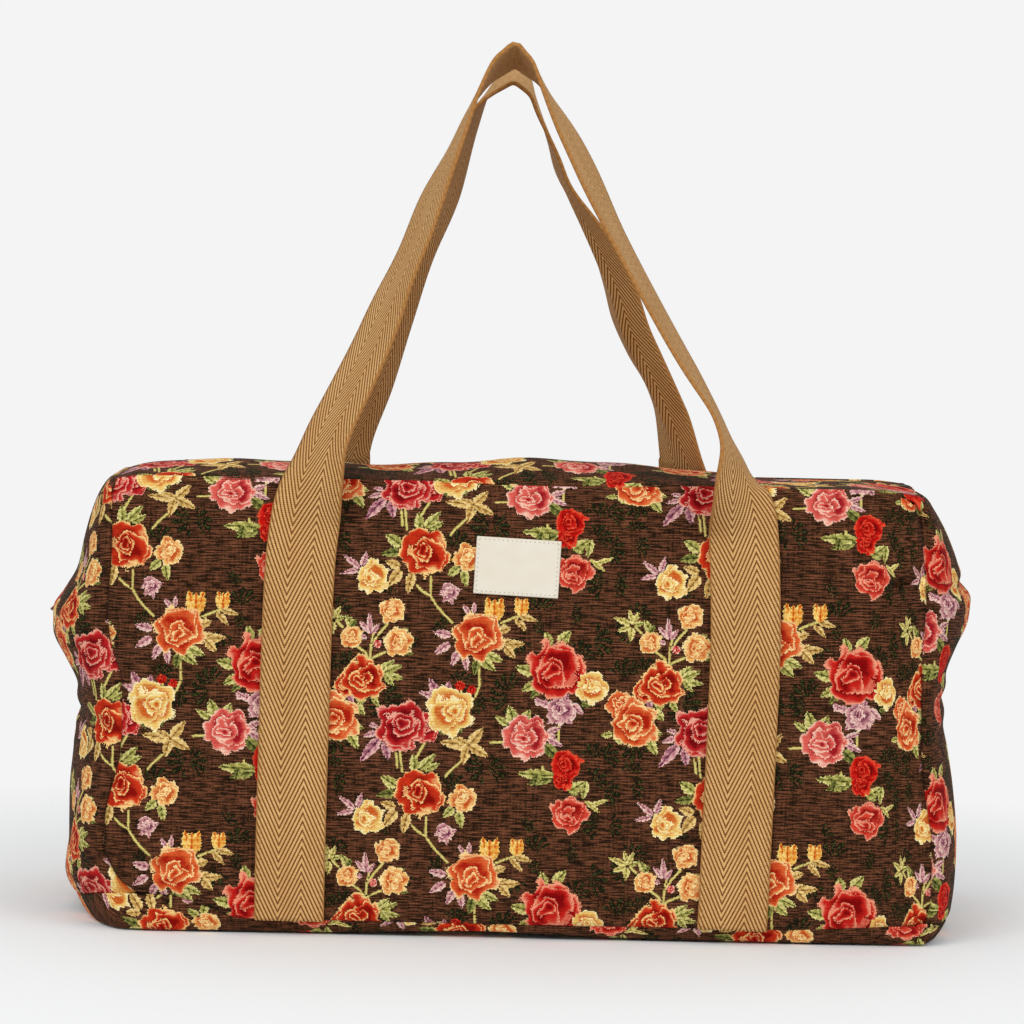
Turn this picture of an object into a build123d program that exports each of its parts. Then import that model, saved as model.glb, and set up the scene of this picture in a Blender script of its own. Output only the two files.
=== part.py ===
from build123d import *
from collections import namedtuple
from math import atan2, cos, exp, hypot, pi, sin
import os

# A soft carpet bag of rose tapestry with two webbing handles and a zip along its top.
# Millimetres. The origin is the middle of its underside: X runs along the bag from its left
# end to its right, Y from its front to its back, and Z up.

# Body
body_length = 546.0        # over the bulging ends
body_depth = 238.0         # where the faces stand out most
seam_height = 262.0        # seam between a face and its top strip
roll_rise = 11.0           # how far the two soft rolls beside the zip stand above that seam
panel_length = 462.0       # between the upright seams of a face
face_taper = 17.0          # how far each face leans in towards the top
foot_inset = 10.0          # how far the bottom is rounded in at its corners
crown_inset = 20.0         # how far the top is rounded in at its corners
crown_bulge = 6.0          # how far the ends still stand out there
cloth = 2.0                # tapestry with its backing
seam_gap = 0.2             # between two cloth pieces that are sewn together
foot_seam = 8.0            # height of the seam round the bottom

# Zip
zip_mouth = 14.0           # between the two folded cloth edges
valley_drop = 9.0          # how far the folded edges lie below the crest
tape_width = 16.0
tape_thickness = 0.8
tape_gap = 0.2             # between a tape and the cloth over it
tape_end_gap = 3.0         # between a tape and the end panel
tooth_pitch = 3.0
tooth_width = 1.35
tooth_overlap = 1.8        # how far the two rows reach into each other
tooth_thickness = 2.4
tooth_row = 1.9            # from the middle of the zip to the tape
bead_clear = 0.2           # between the beads of one row and the teeth of the other
row_length = 414.0         # of the closed teeth
stop_length = 3.0
stop_gap = 1.2             # between the slider and the stops at the closed end

# Slider and puller
slider_length = 12.0
slider_width = 9.4
slider_plate = 1.6
slider_clear = 0.3
flange = 1.2
bridge_bore = 1.25
bridge_wall = 1.0
bridge_width = 2.4
pin_radius = 0.85
pull_length = 30.0
pull_width = 8.0
pull_thickness = 1.5
pull_window = 5.0
pull_arm = 1.5
pull_rounding = 2.5

# Handles
webbing_width = 40.0
webbing = 2.2
handle_spread = 254.0      # between the middles of the two legs, low on the face
leg_top = 248.0            # the same where the legs leave the face
handle_rise = 250.0        # from the face's top seam to the middle of the top fold
handle_lean_left = 10.0    # how far the top fold lies to the left of the middle
fold_radius = 9.0          # of the fold at the top
sewn_height = 205.0        # a leg is sewn down as far as here
twist_length = 50.0        # a leg turns through two thirds of its twist along this
handle_gap = 0.6           # between the two handles where they meet at the top
lie_gap = 0.35             # between a piece of webbing and the face that it lies on

# Label and end tab
label_width = 48.6
label_height = 32.5
label_thickness = 0.6
label_middle = 215.0       # height of the label's middle
label_shift = -1.3         # along the bag
tab_width = 20.0
tab_thickness = 1.7
tab_reach = 14.0
tab_height = 186.0
tab_slope = 43.0           # degrees below level
tab_gap = 0.1              # between the tab's root and the end that it is sewn to

crest_height = seam_height + roll_rise
half_panel = panel_length / 2
end_bulge = body_length / 2 - half_panel
half_depth = body_depth / 2

# The soft body is a stack of plans. Each row gives a height as a share of the seam's, how much
# of the end bulge stands there, and how much of the taper the faces have there. The ends swell
# near the foot, are pinched at half height, and swell again under the top.
Level = namedtuple("Level", "height reach corner face")
rows = (
    (0.016, 0.48, 0.53),
    (0.046, 0.75, 0.32),
    (0.134, 0.84, 0.12),
    (0.34, 0.80, 0.00),
    (0.50, 0.63, 0.03),
    (0.59, 0.81, 0.09),
    (0.68, 1.00, 0.18),
    (0.745, 0.94, 0.26),
    (0.82, 0.72, 0.41),
    (0.905, 0.56, 0.59),
    (0.965, 0.36, 0.76),
    (1.00, 0.12, 0.91),
)
levels = [Level(0, half_panel, half_panel - foot_inset, half_depth - face_taper)]
for height_share, bulge_share, taper_share in rows:
    levels.append(
        Level(
            height_share * seam_height,
            half_panel + bulge_share * end_bulge,
            half_panel,
            half_depth - taper_share * face_taper,
        )
    )
crown_height = crest_height + cloth
levels.append(
    Level(
        crown_height,
        half_panel - crown_inset + crown_bulge,
        half_panel - crown_inset,
        levels[-1].face - (crown_height - seam_height) / 2,
    )
)


def level_at(height):
    """The body's plan at any height, straight between the two rows beside it."""
    for below, above in zip(levels, levels[1:]):
        if height <= above.height:
            break
    share = (height - below.height) / (above.height - below.height)
    mixed = [low + share * (high - low) for low, high in zip(below, above)]
    return Level(*mixed)


def plan(level, inset=0.0):
    """Two straight faces joined by two bulging ends, at one height."""
    face = level.face - inset
    reach = level.reach - inset
    with BuildSketch(Plane.XY.offset(level.height)) as outline:
        with BuildLine():
            Line((-level.corner, -face), (level.corner, -face))
            ThreePointArc((level.corner, -face), (reach, 0), (level.corner, face))
            Line((level.corner, face), (-level.corner, face))
            ThreePointArc((-level.corner, face), (-reach, 0), (-level.corner, -face))
        make_face()
    return outline.sketch


def face_strip(height, middle, width, thickness, gap=lie_gap):
    """Section of a flat strip that lies on the front face, at one height."""
    near = level_at(height).face + gap + thickness / 2
    with BuildSketch(Plane.XY.offset(height)) as strip:
        with Locations((middle, -near)):
            Rectangle(width, thickness)
    return strip.sketch


def heights_between(low, high):
    """The heights of the body's own rows between two heights, with both of them."""
    return [low] + [level.height for level in levels if low < level.height < high] + [high]


# Envelope and hollow of the soft body
with BuildPart() as envelope:
    loft([plan(level) for level in levels], ruled=True)

with BuildPart() as hollow:
    loft([plan(level, cloth) for level in levels], ruled=True)

with BuildPart() as walls:
    add(envelope.part)
    add(hollow.part, mode=Mode.SUBTRACT)

# Top strips: each is an arched roll of cloth from the zip to the face's top seam
valley_height = crest_height - valley_drop
seam_face = level_at(seam_height).face
mouth_edge = zip_mouth / 2
crest_middle = (mouth_edge + seam_face) / 2


def roll_arc(drop):
    """The three points of the roll's arch at some depth below its outer side."""
    return (
        (-seam_face, seam_height - drop),
        (-crest_middle, crest_height - drop),
        (-mouth_edge, valley_height - drop),
    )


with BuildPart() as top_strip_front:
    with BuildSketch(Plane.YZ):
        with BuildLine():
            ThreePointArc(*roll_arc(0))
            Line(roll_arc(0)[-1], roll_arc(cloth)[-1])
            ThreePointArc(*reversed(roll_arc(cloth)))
            Line(roll_arc(cloth)[0], roll_arc(0)[0])
        make_face()
    extrude(amount=body_length / 2, both=True)
    add(envelope.part, mode=Mode.INTERSECT)
top_strip_front.part.label = "top_strip_front"

with BuildPart() as top_strip_back:
    mirror(top_strip_front.part, about=Plane.XZ)
top_strip_back.part.label = "top_strip_back"

# Room that the top strips take: everything above their undersides, less a seam's gap
lid_drop = cloth + seam_gap
sky = crown_height + cloth
with BuildPart() as lid_room:
    with BuildSketch(Plane.YZ):
        with BuildLine():
            ThreePointArc(*roll_arc(lid_drop))
            Line(roll_arc(lid_drop)[-1], (mouth_edge, valley_height - lid_drop))
            ThreePointArc(*[(-y, z) for y, z in reversed(roll_arc(lid_drop))])
            Polyline(
                (seam_face, seam_height - lid_drop),
                (half_depth, seam_height - lid_drop),
                (half_depth, sky),
                (-half_depth, sky),
                (-half_depth, seam_height - lid_drop),
                (-seam_face, seam_height - lid_drop),
            )
        make_face()
    extrude(amount=body_length / 2, both=True)

# Faces
face_top = seam_height - lid_drop
with BuildPart() as front_panel:
    add(walls.part)
    with Locations((0, -half_depth, (foot_seam + face_top) / 2)):
        Box(
            panel_length - seam_gap,
            body_depth - zip_mouth,
            face_top - foot_seam - seam_gap,
            mode=Mode.INTERSECT,
        )
front_panel.part.label = "front_panel"

with BuildPart() as back_panel:
    mirror(front_panel.part, about=Plane.XZ)
back_panel.part.label = "back_panel"

# Bottom, turned up all round to its seam
with BuildPart() as bottom_hollow:
    add(hollow.part)
    split(bisect_by=Plane.XY.offset(cloth), keep=Keep.TOP)

with BuildPart() as bottom_panel:
    add(envelope.part)
    split(bisect_by=Plane.XY.offset(foot_seam - seam_gap), keep=Keep.BOTTOM)
    add(bottom_hollow.part, mode=Mode.SUBTRACT)
bottom_panel.part.label = "bottom_panel"

# Ends
end_zone = body_length / 2 - half_panel
shoulder_zone = end_zone + crown_inset + cloth
with BuildPart() as right_end_panel:
    with Locations((half_panel + seam_gap / 2, 0, foot_seam)):
        Box(
            end_zone,
            body_depth,
            crown_height - foot_seam,
            align=(Align.MIN, Align.CENTER, Align.MIN),
        )
    with Locations((body_length / 2, 0, seam_height)):
        Box(
            shoulder_zone,
            body_depth,
            crown_height - seam_height,
            align=(Align.MAX, Align.CENTER, Align.MIN),
        )
    add(walls.part, mode=Mode.INTERSECT)
    add(lid_room.part, mode=Mode.SUBTRACT)
right_end_panel.part.label = "right_end_panel"

with BuildPart() as left_end_panel:
    mirror(right_end_panel.part, about=Plane.YZ)
left_end_panel.part.label = "left_end_panel"

# Zip tapes and teeth
tape_top = valley_height - cloth - tape_gap
tape_middle = tape_top - tape_thickness / 2
tape_half_length = level_at(tape_top).reach - cloth - tape_end_gap
with BuildPart() as zip_tape_front:
    with BuildSketch(Plane.XY.offset(tape_top - tape_thickness)):
        with Locations((0, -tooth_row)):
            Rectangle(2 * tape_half_length, tape_width, align=(Align.CENTER, Align.MAX))
    extrude(amount=tape_thickness)
zip_tape_front.part.label = "zip_tape_front"

with BuildPart() as zip_tape_back:
    mirror(zip_tape_front.part, about=Plane.XZ)
zip_tape_back.part.label = "zip_tape_back"

tooth_count = int(row_length / tooth_pitch)
row_reach = (tooth_count + 1) * tooth_pitch / 2
tooth_length = tooth_row + tooth_overlap / 2
bead = tooth_row - tooth_overlap / 2 - bead_clear


def tooth_row_plan(shift):
    """Plan of one row: a bead along the tape with its teeth, moved along by shift."""
    with BuildSketch(Plane.XY.offset(tape_middle - tooth_thickness / 2)) as row:
        with Locations((0, -tooth_row)):
            Rectangle(2 * row_reach, bead, align=(Align.CENTER, Align.MIN))
        with Locations((shift, -tooth_row + tooth_length / 2)):
            with GridLocations(tooth_pitch, 1, tooth_count, 1):
                Rectangle(tooth_width, tooth_length)
    return row.sketch


with BuildPart() as zip_teeth_front:
    extrude(tooth_row_plan(-tooth_pitch / 4), amount=tooth_thickness)
zip_teeth_front.part.label = "zip_teeth_front"

with BuildPart() as zip_teeth_back:
    extrude(mirror(tooth_row_plan(tooth_pitch / 4), about=Plane.XZ), amount=tooth_thickness)
zip_teeth_back.part.label = "zip_teeth_back"

# Slider: a plate with two flanges astride the closed teeth, and a bridge for the puller
slider_rest = -row_reach + stop_gap + slider_length / 2
slider_floor = tape_middle + tooth_thickness / 2 + slider_clear
slider_top = slider_floor + slider_plate
flange_foot = tape_top + slider_clear
pivot_height = slider_top + bridge_bore
slider_half = slider_width / 2
with BuildPart() as zip_slider:
    with BuildSketch(Plane.XY.offset(slider_floor)):
        with Locations((slider_rest, 0)):
            RectangleRounded(slider_length, slider_width, slider_width / 4)
    extrude(amount=slider_plate)
    with BuildSketch(Plane.XY.offset(flange_foot)):
        for side in (-1, 1):
            with Locations((slider_rest, side * (slider_half - flange / 2))):
                Rectangle(slider_length - slider_width / 2, flange)
    extrude(amount=slider_top - flange_foot)
    with BuildSketch(Plane.XZ.offset(-bridge_width / 2)):
        with Locations((slider_rest, pivot_height)):
            Circle(bridge_bore + bridge_wall)
        with Locations((slider_rest, slider_top)):
            Rectangle(
                2 * (bridge_bore + bridge_wall),
                bridge_bore,
                align=(Align.CENTER, Align.MIN),
            )
        with Locations((slider_rest, slider_top)):
            Rectangle(
                2 * (bridge_bore + bridge_wall),
                bridge_wall * 2,
                align=(Align.CENTER, Align.MAX),
                mode=Mode.SUBTRACT,
            )
        with Locations((slider_rest, pivot_height)):
            Circle(bridge_bore, mode=Mode.SUBTRACT)
    extrude(amount=bridge_width)
zip_slider.part.label = "zip_slider"

# Puller: a plate with a window, whose end bar turns in the slider's bridge
with BuildPart() as zip_puller:
    with BuildSketch(Plane.XY.offset(pivot_height - pull_thickness / 2)):
        with Locations((slider_rest, 0)):
            Rectangle(pull_length, pull_width, align=(Align.MIN, Align.CENTER))
        with Locations((slider_rest, 0)):
            Rectangle(
                pull_window,
                pull_width - 2 * pull_arm,
                align=(Align.MIN, Align.CENTER),
                mode=Mode.SUBTRACT,
            )
    extrude(amount=pull_thickness)
    fillet(
        zip_puller.edges().filter_by(Axis.Z).group_by(Axis.X)[-1],
        pull_rounding,
    )
    with BuildSketch(Plane.XZ.offset(-pull_width / 2)):
        with Locations((slider_rest, pivot_height)):
            Circle(pin_radius)
    extrude(amount=pull_width)
zip_puller.part.label = "zip_puller"

# Stops: one on each tape at the closed end, one across both rows at the other
stop_middle = (tooth_row + seam_gap) / 2
with BuildPart() as zip_top_stops:
    for side in (-1, 1):
        with Locations((-row_reach - stop_length / 2, side * stop_middle, tape_middle)):
            Box(stop_length, tooth_row - seam_gap, tooth_thickness)
zip_top_stops.part.label = "zip_top_stops"

with BuildPart() as zip_bottom_stop:
    with Locations((row_reach + stop_length / 2, 0, tape_middle)):
        Box(stop_length, 2 * tooth_row, tooth_thickness)
zip_bottom_stop.part.label = "zip_bottom_stop"

# Handles: each leg lies on the face, is sewn down as far as sewn_height, leaves the face at its
# top seam and runs up in a leaning plane to a fold at the top. The webbing turns on the way, so
# that it is flat against the face below and stands square to the leaning plane at the fold.
half_spread = handle_spread / 2
half_leg_top = leg_top / 2
leg_foot = foot_seam + seam_gap
base_y = -(seam_face + lie_gap + webbing / 2)
apex_y = -(handle_gap + webbing_width) / 2
lean = atan2(apex_y - base_y, handle_rise)
up = Vector(0, sin(lean), cos(lean))
outward = Vector(0, -cos(lean), sin(lean))
rise = hypot(handle_rise, apex_y - base_y)
half_angle = atan2(half_leg_top, rise)
corner_rise = rise + fold_radius * (1 / sin(half_angle) - 1)


def in_leaning_plane(across, along):
    """The point of the handles' leaning plane at some distance across and up it."""
    return Vector(across, base_y, seam_height) + up * along


def leg_middle(height):
    """How far from the bag's middle a leg lies on the face, at one height."""
    if height <= sewn_height:
        return half_spread
    share = (height - sewn_height) / (seam_height - sewn_height)
    return half_spread + share * (half_leg_top - half_spread)


def webbing_section(point, direction):
    """Section of the free webbing, turned about its own run by its height."""
    twist = pi / 2 * (1 - exp(-(point.Z - seam_height) / twist_length))
    inward = direction.cross(outward)
    width_direction = inward * cos(twist) + outward * sin(twist)
    with BuildSketch(Plane(point, x_dir=width_direction, z_dir=direction)) as section:
        Rectangle(webbing_width, webbing)
    return section.sketch


leg_shares = (0.06, 0.13, 0.21, 0.31, 0.44, 0.60, 0.78, 0.93)
fold_shares = (0.0, 0.25, 0.5, 0.75, 1.0)
with BuildLine() as handle_run:
    FilletPolyline(
        in_leaning_plane(-half_leg_top, 0),
        in_leaning_plane(-handle_lean_left, corner_rise),
        in_leaning_plane(half_leg_top, 0),
        radius=fold_radius,
    )
left_leg, fold, right_leg = handle_run.edges().sort_by(Axis.X)
right_shares = [1 - share for share in reversed(leg_shares)]
free_sections = []
for run, shares in ((left_leg, leg_shares), (fold, fold_shares), (right_leg, right_shares)):
    for share in shares:
        free_sections.append(webbing_section(run @ share, run % share))

lying_heights = heights_between(leg_foot, seam_height - lie_gap)
left_sections = [face_strip(h, -leg_middle(h), webbing_width, webbing) for h in lying_heights]
right_sections = [face_strip(h, leg_middle(h), webbing_width, webbing) for h in lying_heights]

with BuildPart() as front_handle:
    loft(left_sections + free_sections + list(reversed(right_sections)), ruled=True)
front_handle.part.label = "front_handle"

with BuildPart() as back_handle:
    mirror(front_handle.part, about=Plane.XZ)
back_handle.part.label = "back_handle"

# Label, sewn flat on the front
label_low = label_middle - label_height / 2
label_high = label_middle + label_height / 2
label_heights = heights_between(label_low, label_high)
with BuildPart() as label:
    loft(
        [face_strip(h, label_shift, label_width, label_thickness) for h in label_heights],
        ruled=True,
    )
label.part.label = "label"

# Leather tab that stands out and down from the left end
tab_root = level_at(tab_height).reach
with BuildPart() as end_tab:
    tab_plane = Plane.XZ.offset(-tab_width / 2)
    with BuildSketch(tab_plane):
        with Locations(Location((-tab_root + tab_thickness, tab_height), tab_slope)):
            Rectangle(tab_reach, tab_thickness, align=(Align.MAX, Align.CENTER))
    extrude(amount=tab_width)
    loft([plan(level, -tab_gap) for level in levels], ruled=True, mode=Mode.SUBTRACT)
end_tab.part.label = "end_tab"

pieces = (
    front_panel,
    back_panel,
    bottom_panel,
    left_end_panel,
    right_end_panel,
    top_strip_front,
    top_strip_back,
    zip_tape_front,
    zip_tape_back,
    zip_teeth_front,
    zip_teeth_back,
    zip_slider,
    zip_puller,
    zip_top_stops,
    zip_bottom_stop,
    front_handle,
    back_handle,
    label,
    end_tab,
)
os.makedirs("parts", exist_ok=True)
for piece in pieces:
    export_step(piece.part, f"parts/{piece.part.label}.step")
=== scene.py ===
import math

import bpy
import numpy as np
from bpy.props import FloatProperty, FloatVectorProperty, PointerProperty
from bpy.types import Operator, Panel, PropertyGroup
from mathutils import Matrix, Vector


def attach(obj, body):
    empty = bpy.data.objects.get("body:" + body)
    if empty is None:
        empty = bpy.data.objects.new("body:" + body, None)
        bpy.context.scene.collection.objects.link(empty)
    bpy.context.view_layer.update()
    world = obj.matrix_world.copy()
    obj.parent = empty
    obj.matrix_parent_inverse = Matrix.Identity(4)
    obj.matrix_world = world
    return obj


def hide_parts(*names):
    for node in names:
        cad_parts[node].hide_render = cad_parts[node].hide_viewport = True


bl_info = {
    "name": "Carpet bag",
    "version": (1, 0, 0),
    "blender": (4, 5, 0),
    "location": "3D View > Sidebar > Carpet bag",
    "description": "A soft rose tapestry bag with webbing handles and a zip, around its frame",
    "category": "Object",
}

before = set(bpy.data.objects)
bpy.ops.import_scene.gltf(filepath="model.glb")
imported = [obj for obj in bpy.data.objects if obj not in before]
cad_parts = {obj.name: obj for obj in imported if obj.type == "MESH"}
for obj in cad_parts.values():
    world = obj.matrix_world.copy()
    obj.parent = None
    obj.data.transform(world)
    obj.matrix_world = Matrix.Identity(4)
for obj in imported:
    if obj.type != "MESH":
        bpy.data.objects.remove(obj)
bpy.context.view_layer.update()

# Everything below is worked out in millimetres and goes into the meshes in metres.
MM = 0.001

# Outline of the stuffed bag at half its depth: (height, how far out it stands). The ends swell
# near the foot, are pinched at half height and swell again under the top.
LEFT_END = (
    (0, 226), (3, 246), (10, 262), (24, 269), (45, 266), (72, 266), (100, 265), (121, 260.5),
    (135, 262), (152, 271), (168, 278), (180, 278), (190, 272), (206, 263), (224, 259),
    (238, 255), (250, 250), (262, 240), (268, 228),
)
RIGHT_END = (
    (0, 240), (5, 254), (16, 262), (50, 264), (110, 257.5), (125, 254), (140, 252.6),
    (152, 254), (170, 262), (185, 268.5), (196, 269.5), (206, 264), (218, 261), (236, 253.6),
    (250, 245), (258, 238), (264, 225),
)
# The upright seams between the faces and the ends, as (height, how far out)
LEFT_SEAM = (
    (8, 210), (22, 217), (30, 226.5), (42, 234), (52, 236.3), (67, 235.6), (82, 232.5),
    (92, 229.8), (102, 227.6), (118, 226.6), (145, 227), (156, 230.5), (172, 234.8),
    (187, 236.2), (214, 234.8), (240, 235.2), (262, 235.6),
)
RIGHT_SEAM = (
    (8, 237), (30, 241), (60, 240.5), (90, 235.5), (110, 233.2), (165, 232.3), (200, 234),
    (240, 231), (262, 229),
)
# Half of the bag's depth at each height, over the two faces
HALF_DEPTH = (
    (0, 102), (4, 110), (12, 113.6), (35, 117), (89, 119), (131, 118.5), (155, 117.5),
    (178, 116), (195, 114.6), (215, 112), (237, 109), (253, 106), (262, 103.5), (275, 97),
)
# Top of the soft rolls beside the zip, as (place along the bag, height)
CREST = (
    (-240, 262), (-225, 267), (-205, 270), (-185, 271), (-158, 272), (-123, 270.6), (-84, 269.7),
    (-38, 272.5), (-3, 275.5), (31, 274.5), (77, 271.8), (105, 270.4),
    (125, 268), (145, 265.2), (170, 264.2), (200, 264), (215, 262), (240, 258),
)
BACK_CREST = (
    (-240, 257), (-200, 259), (-158, 262), (-84, 263), (-3, 266), (77, 264), (122, 262),
    (167, 260), (215, 257), (240, 255),
)
# Height of the front's top seam, and how much lower the back's lies
TOP_SEAM = 263.4
BACK_DROP = 7.0
# Height of the strips' edges beside the zip, and half the width between them
ZIP_EDGE = 264.0
ZIP_HALF_MOUTH = 7.0
# Over this length the top falls away to each end
END_FALL = 30.0
CLOTH = 2.0
WEBBING = 2.2
WEBBING_WIDTH = 40.0
LABEL_WIDTH = 48.6
LABEL_HEIGHT = 32.5
# Rough sizes that space the mesh points: a face, an end and a top strip
FACE_SPAN = (466.0, 254.0)
END_SPAN = (250.0, 250.0)
STRIP_SPAN = (470.0, 104.0)
# Height of the seam round the bottom, at the middle of a face
FOOT_SEAM = 9.0
# From the face's top seam to the crest, across the bag
ROLL_HALF_WIDTH = 48.0
# Heights at which the handles' legs leave the face, and at which they hang free
LEG_LEAVES = 262.0
LEG_FREE = 345.0
# How far the handles rise above the top seam, and how far out they start and end
HANDLE_RISE = 250.0
HANDLE_START = 103.5 + 2.0
HANDLE_GAP = 0.3
# Between the webbing and the cloth that it lies on
LIE_GAP = 0.35
# Heights at which the left and the right end are pinched
LEFT_PINCH = 124.0
RIGHT_PINCH = 141.0
# Where the print starts on each end, as (round the end, up)
LEFT_END_PRINT = (32.0, 42.0)
RIGHT_END_PRINT = (95.0, 14.0)

# The print. One repeat is a tile of the cloth, and each place is in millimetres in that tile.
# Colours are sRGB from 0 to 255: in the shade, plain, and in the light.
PALETTES = {
    "orange": ((138, 12, 6), (206, 54, 24), (254, 208, 134)),
    "apricot": ((172, 30, 12), (222, 96, 46), (254, 216, 148)),
    "cream": ((206, 96, 36), (242, 200, 108), (255, 238, 178)),
    "rose": ((116, 6, 12), (192, 34, 36), (246, 172, 148)),
    "red": ((130, 4, 6), (202, 34, 26), (246, 156, 122)),
    "pink": ((160, 26, 34), (224, 96, 84), (250, 200, 176)),
    "peach": ((200, 84, 34), (242, 180, 104), (255, 230, 164)),
    "amber": ((206, 76, 22), (238, 168, 60), (252, 220, 126)),
    "scarlet": ((120, 4, 4), (200, 20, 14), (232, 84, 54)),
    "coral": ((146, 16, 14), (212, 64, 46), (248, 166, 134)),
    "mauve": ((112, 44, 72), (206, 144, 146), (246, 210, 194)),
    "violet": ((80, 28, 56), (178, 112, 124), (238, 190, 182)),
    "pinkleaf": ((130, 44, 70), (206, 130, 130), (242, 200, 190)),
    "olive": ((60, 60, 20), (166, 162, 80), (230, 220, 142)),
    "fern": ((34, 38, 14), (100, 104, 46), (172, 168, 92)),
    "tan": ((118, 78, 26), (208, 166, 92), (246, 216, 146)),
    "pale": ((106, 96, 36), (204, 188, 102), (242, 226, 150)),
    "bud": ((198, 60, 16), (236, 160, 58), (254, 222, 128)),
}
# (u, v, radius, turn in degrees, petals, palette, layer)
FLOWERS = (
    (30.7, 15.4, 13.9, 20, 6, "orange", 1), (1.5, 1.4, 9.4, 70, 5, "cream", 1),
    (55.5, 13.2, 7.8, 10, 5, "peach", 1), (61.8, -31.5, 14.6, 140, 6, "apricot", 1),
    (12.5, -17.8, 7.3, 30, 4, "peach", 1), (-10.2, -33, 6.4, 100, 4, "peach", 1),
    (16.4, -35.4, 8.3, 200, 5, "peach", 1), (-2.6, -57.1, 12.5, 60, 6, "orange", 1),
    (-13.1, -61.4, 7.1, 10, 5, "orange", 0), (-17.9, 58.2, 13.9, 80, 6, "apricot", 1),
    (-26.4, 68.7, 8.3, 30, 5, "apricot", 0), (19.2, 54.2, 15.3, 300, 6, "rose", 1),
    (32.8, 53.3, 8.3, 0, 5, "rose", 0), (46.8, 63.1, 14.4, 250, 6, "cream", 1),
    (-64, -48.9, 16.5, 100, 7, "red", 1), (-53.8, -53.4, 9.4, 20, 5, "red", 0),
    (-43.1, -59.6, 9.4, 330, 5, "cream", 1), (-60.5, 65.6, 8.5, 15, 6, "mauve", 0),
    (-79.7, 49.3, 13.2, 40, 6, "pink", 1), (-56.9, 34.2, 8.5, 60, 5, "scarlet", 0),
    (-58.5, 25.6, 6.1, 10, 4, "scarlet", 0), (-54.5, 5.6, 10.9, 120, 5, "coral", 0),
    (52.4, -60, 2.8, 90, 3, "scarlet", 0), (58.9, -62.3, 2.6, 60, 3, "scarlet", 0),
    (45.3, -6.5, 5, 20, 5, "mauve", 0), (4.7, -36.9, 2.4, 20, 4, "pink", 0),
)
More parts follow.
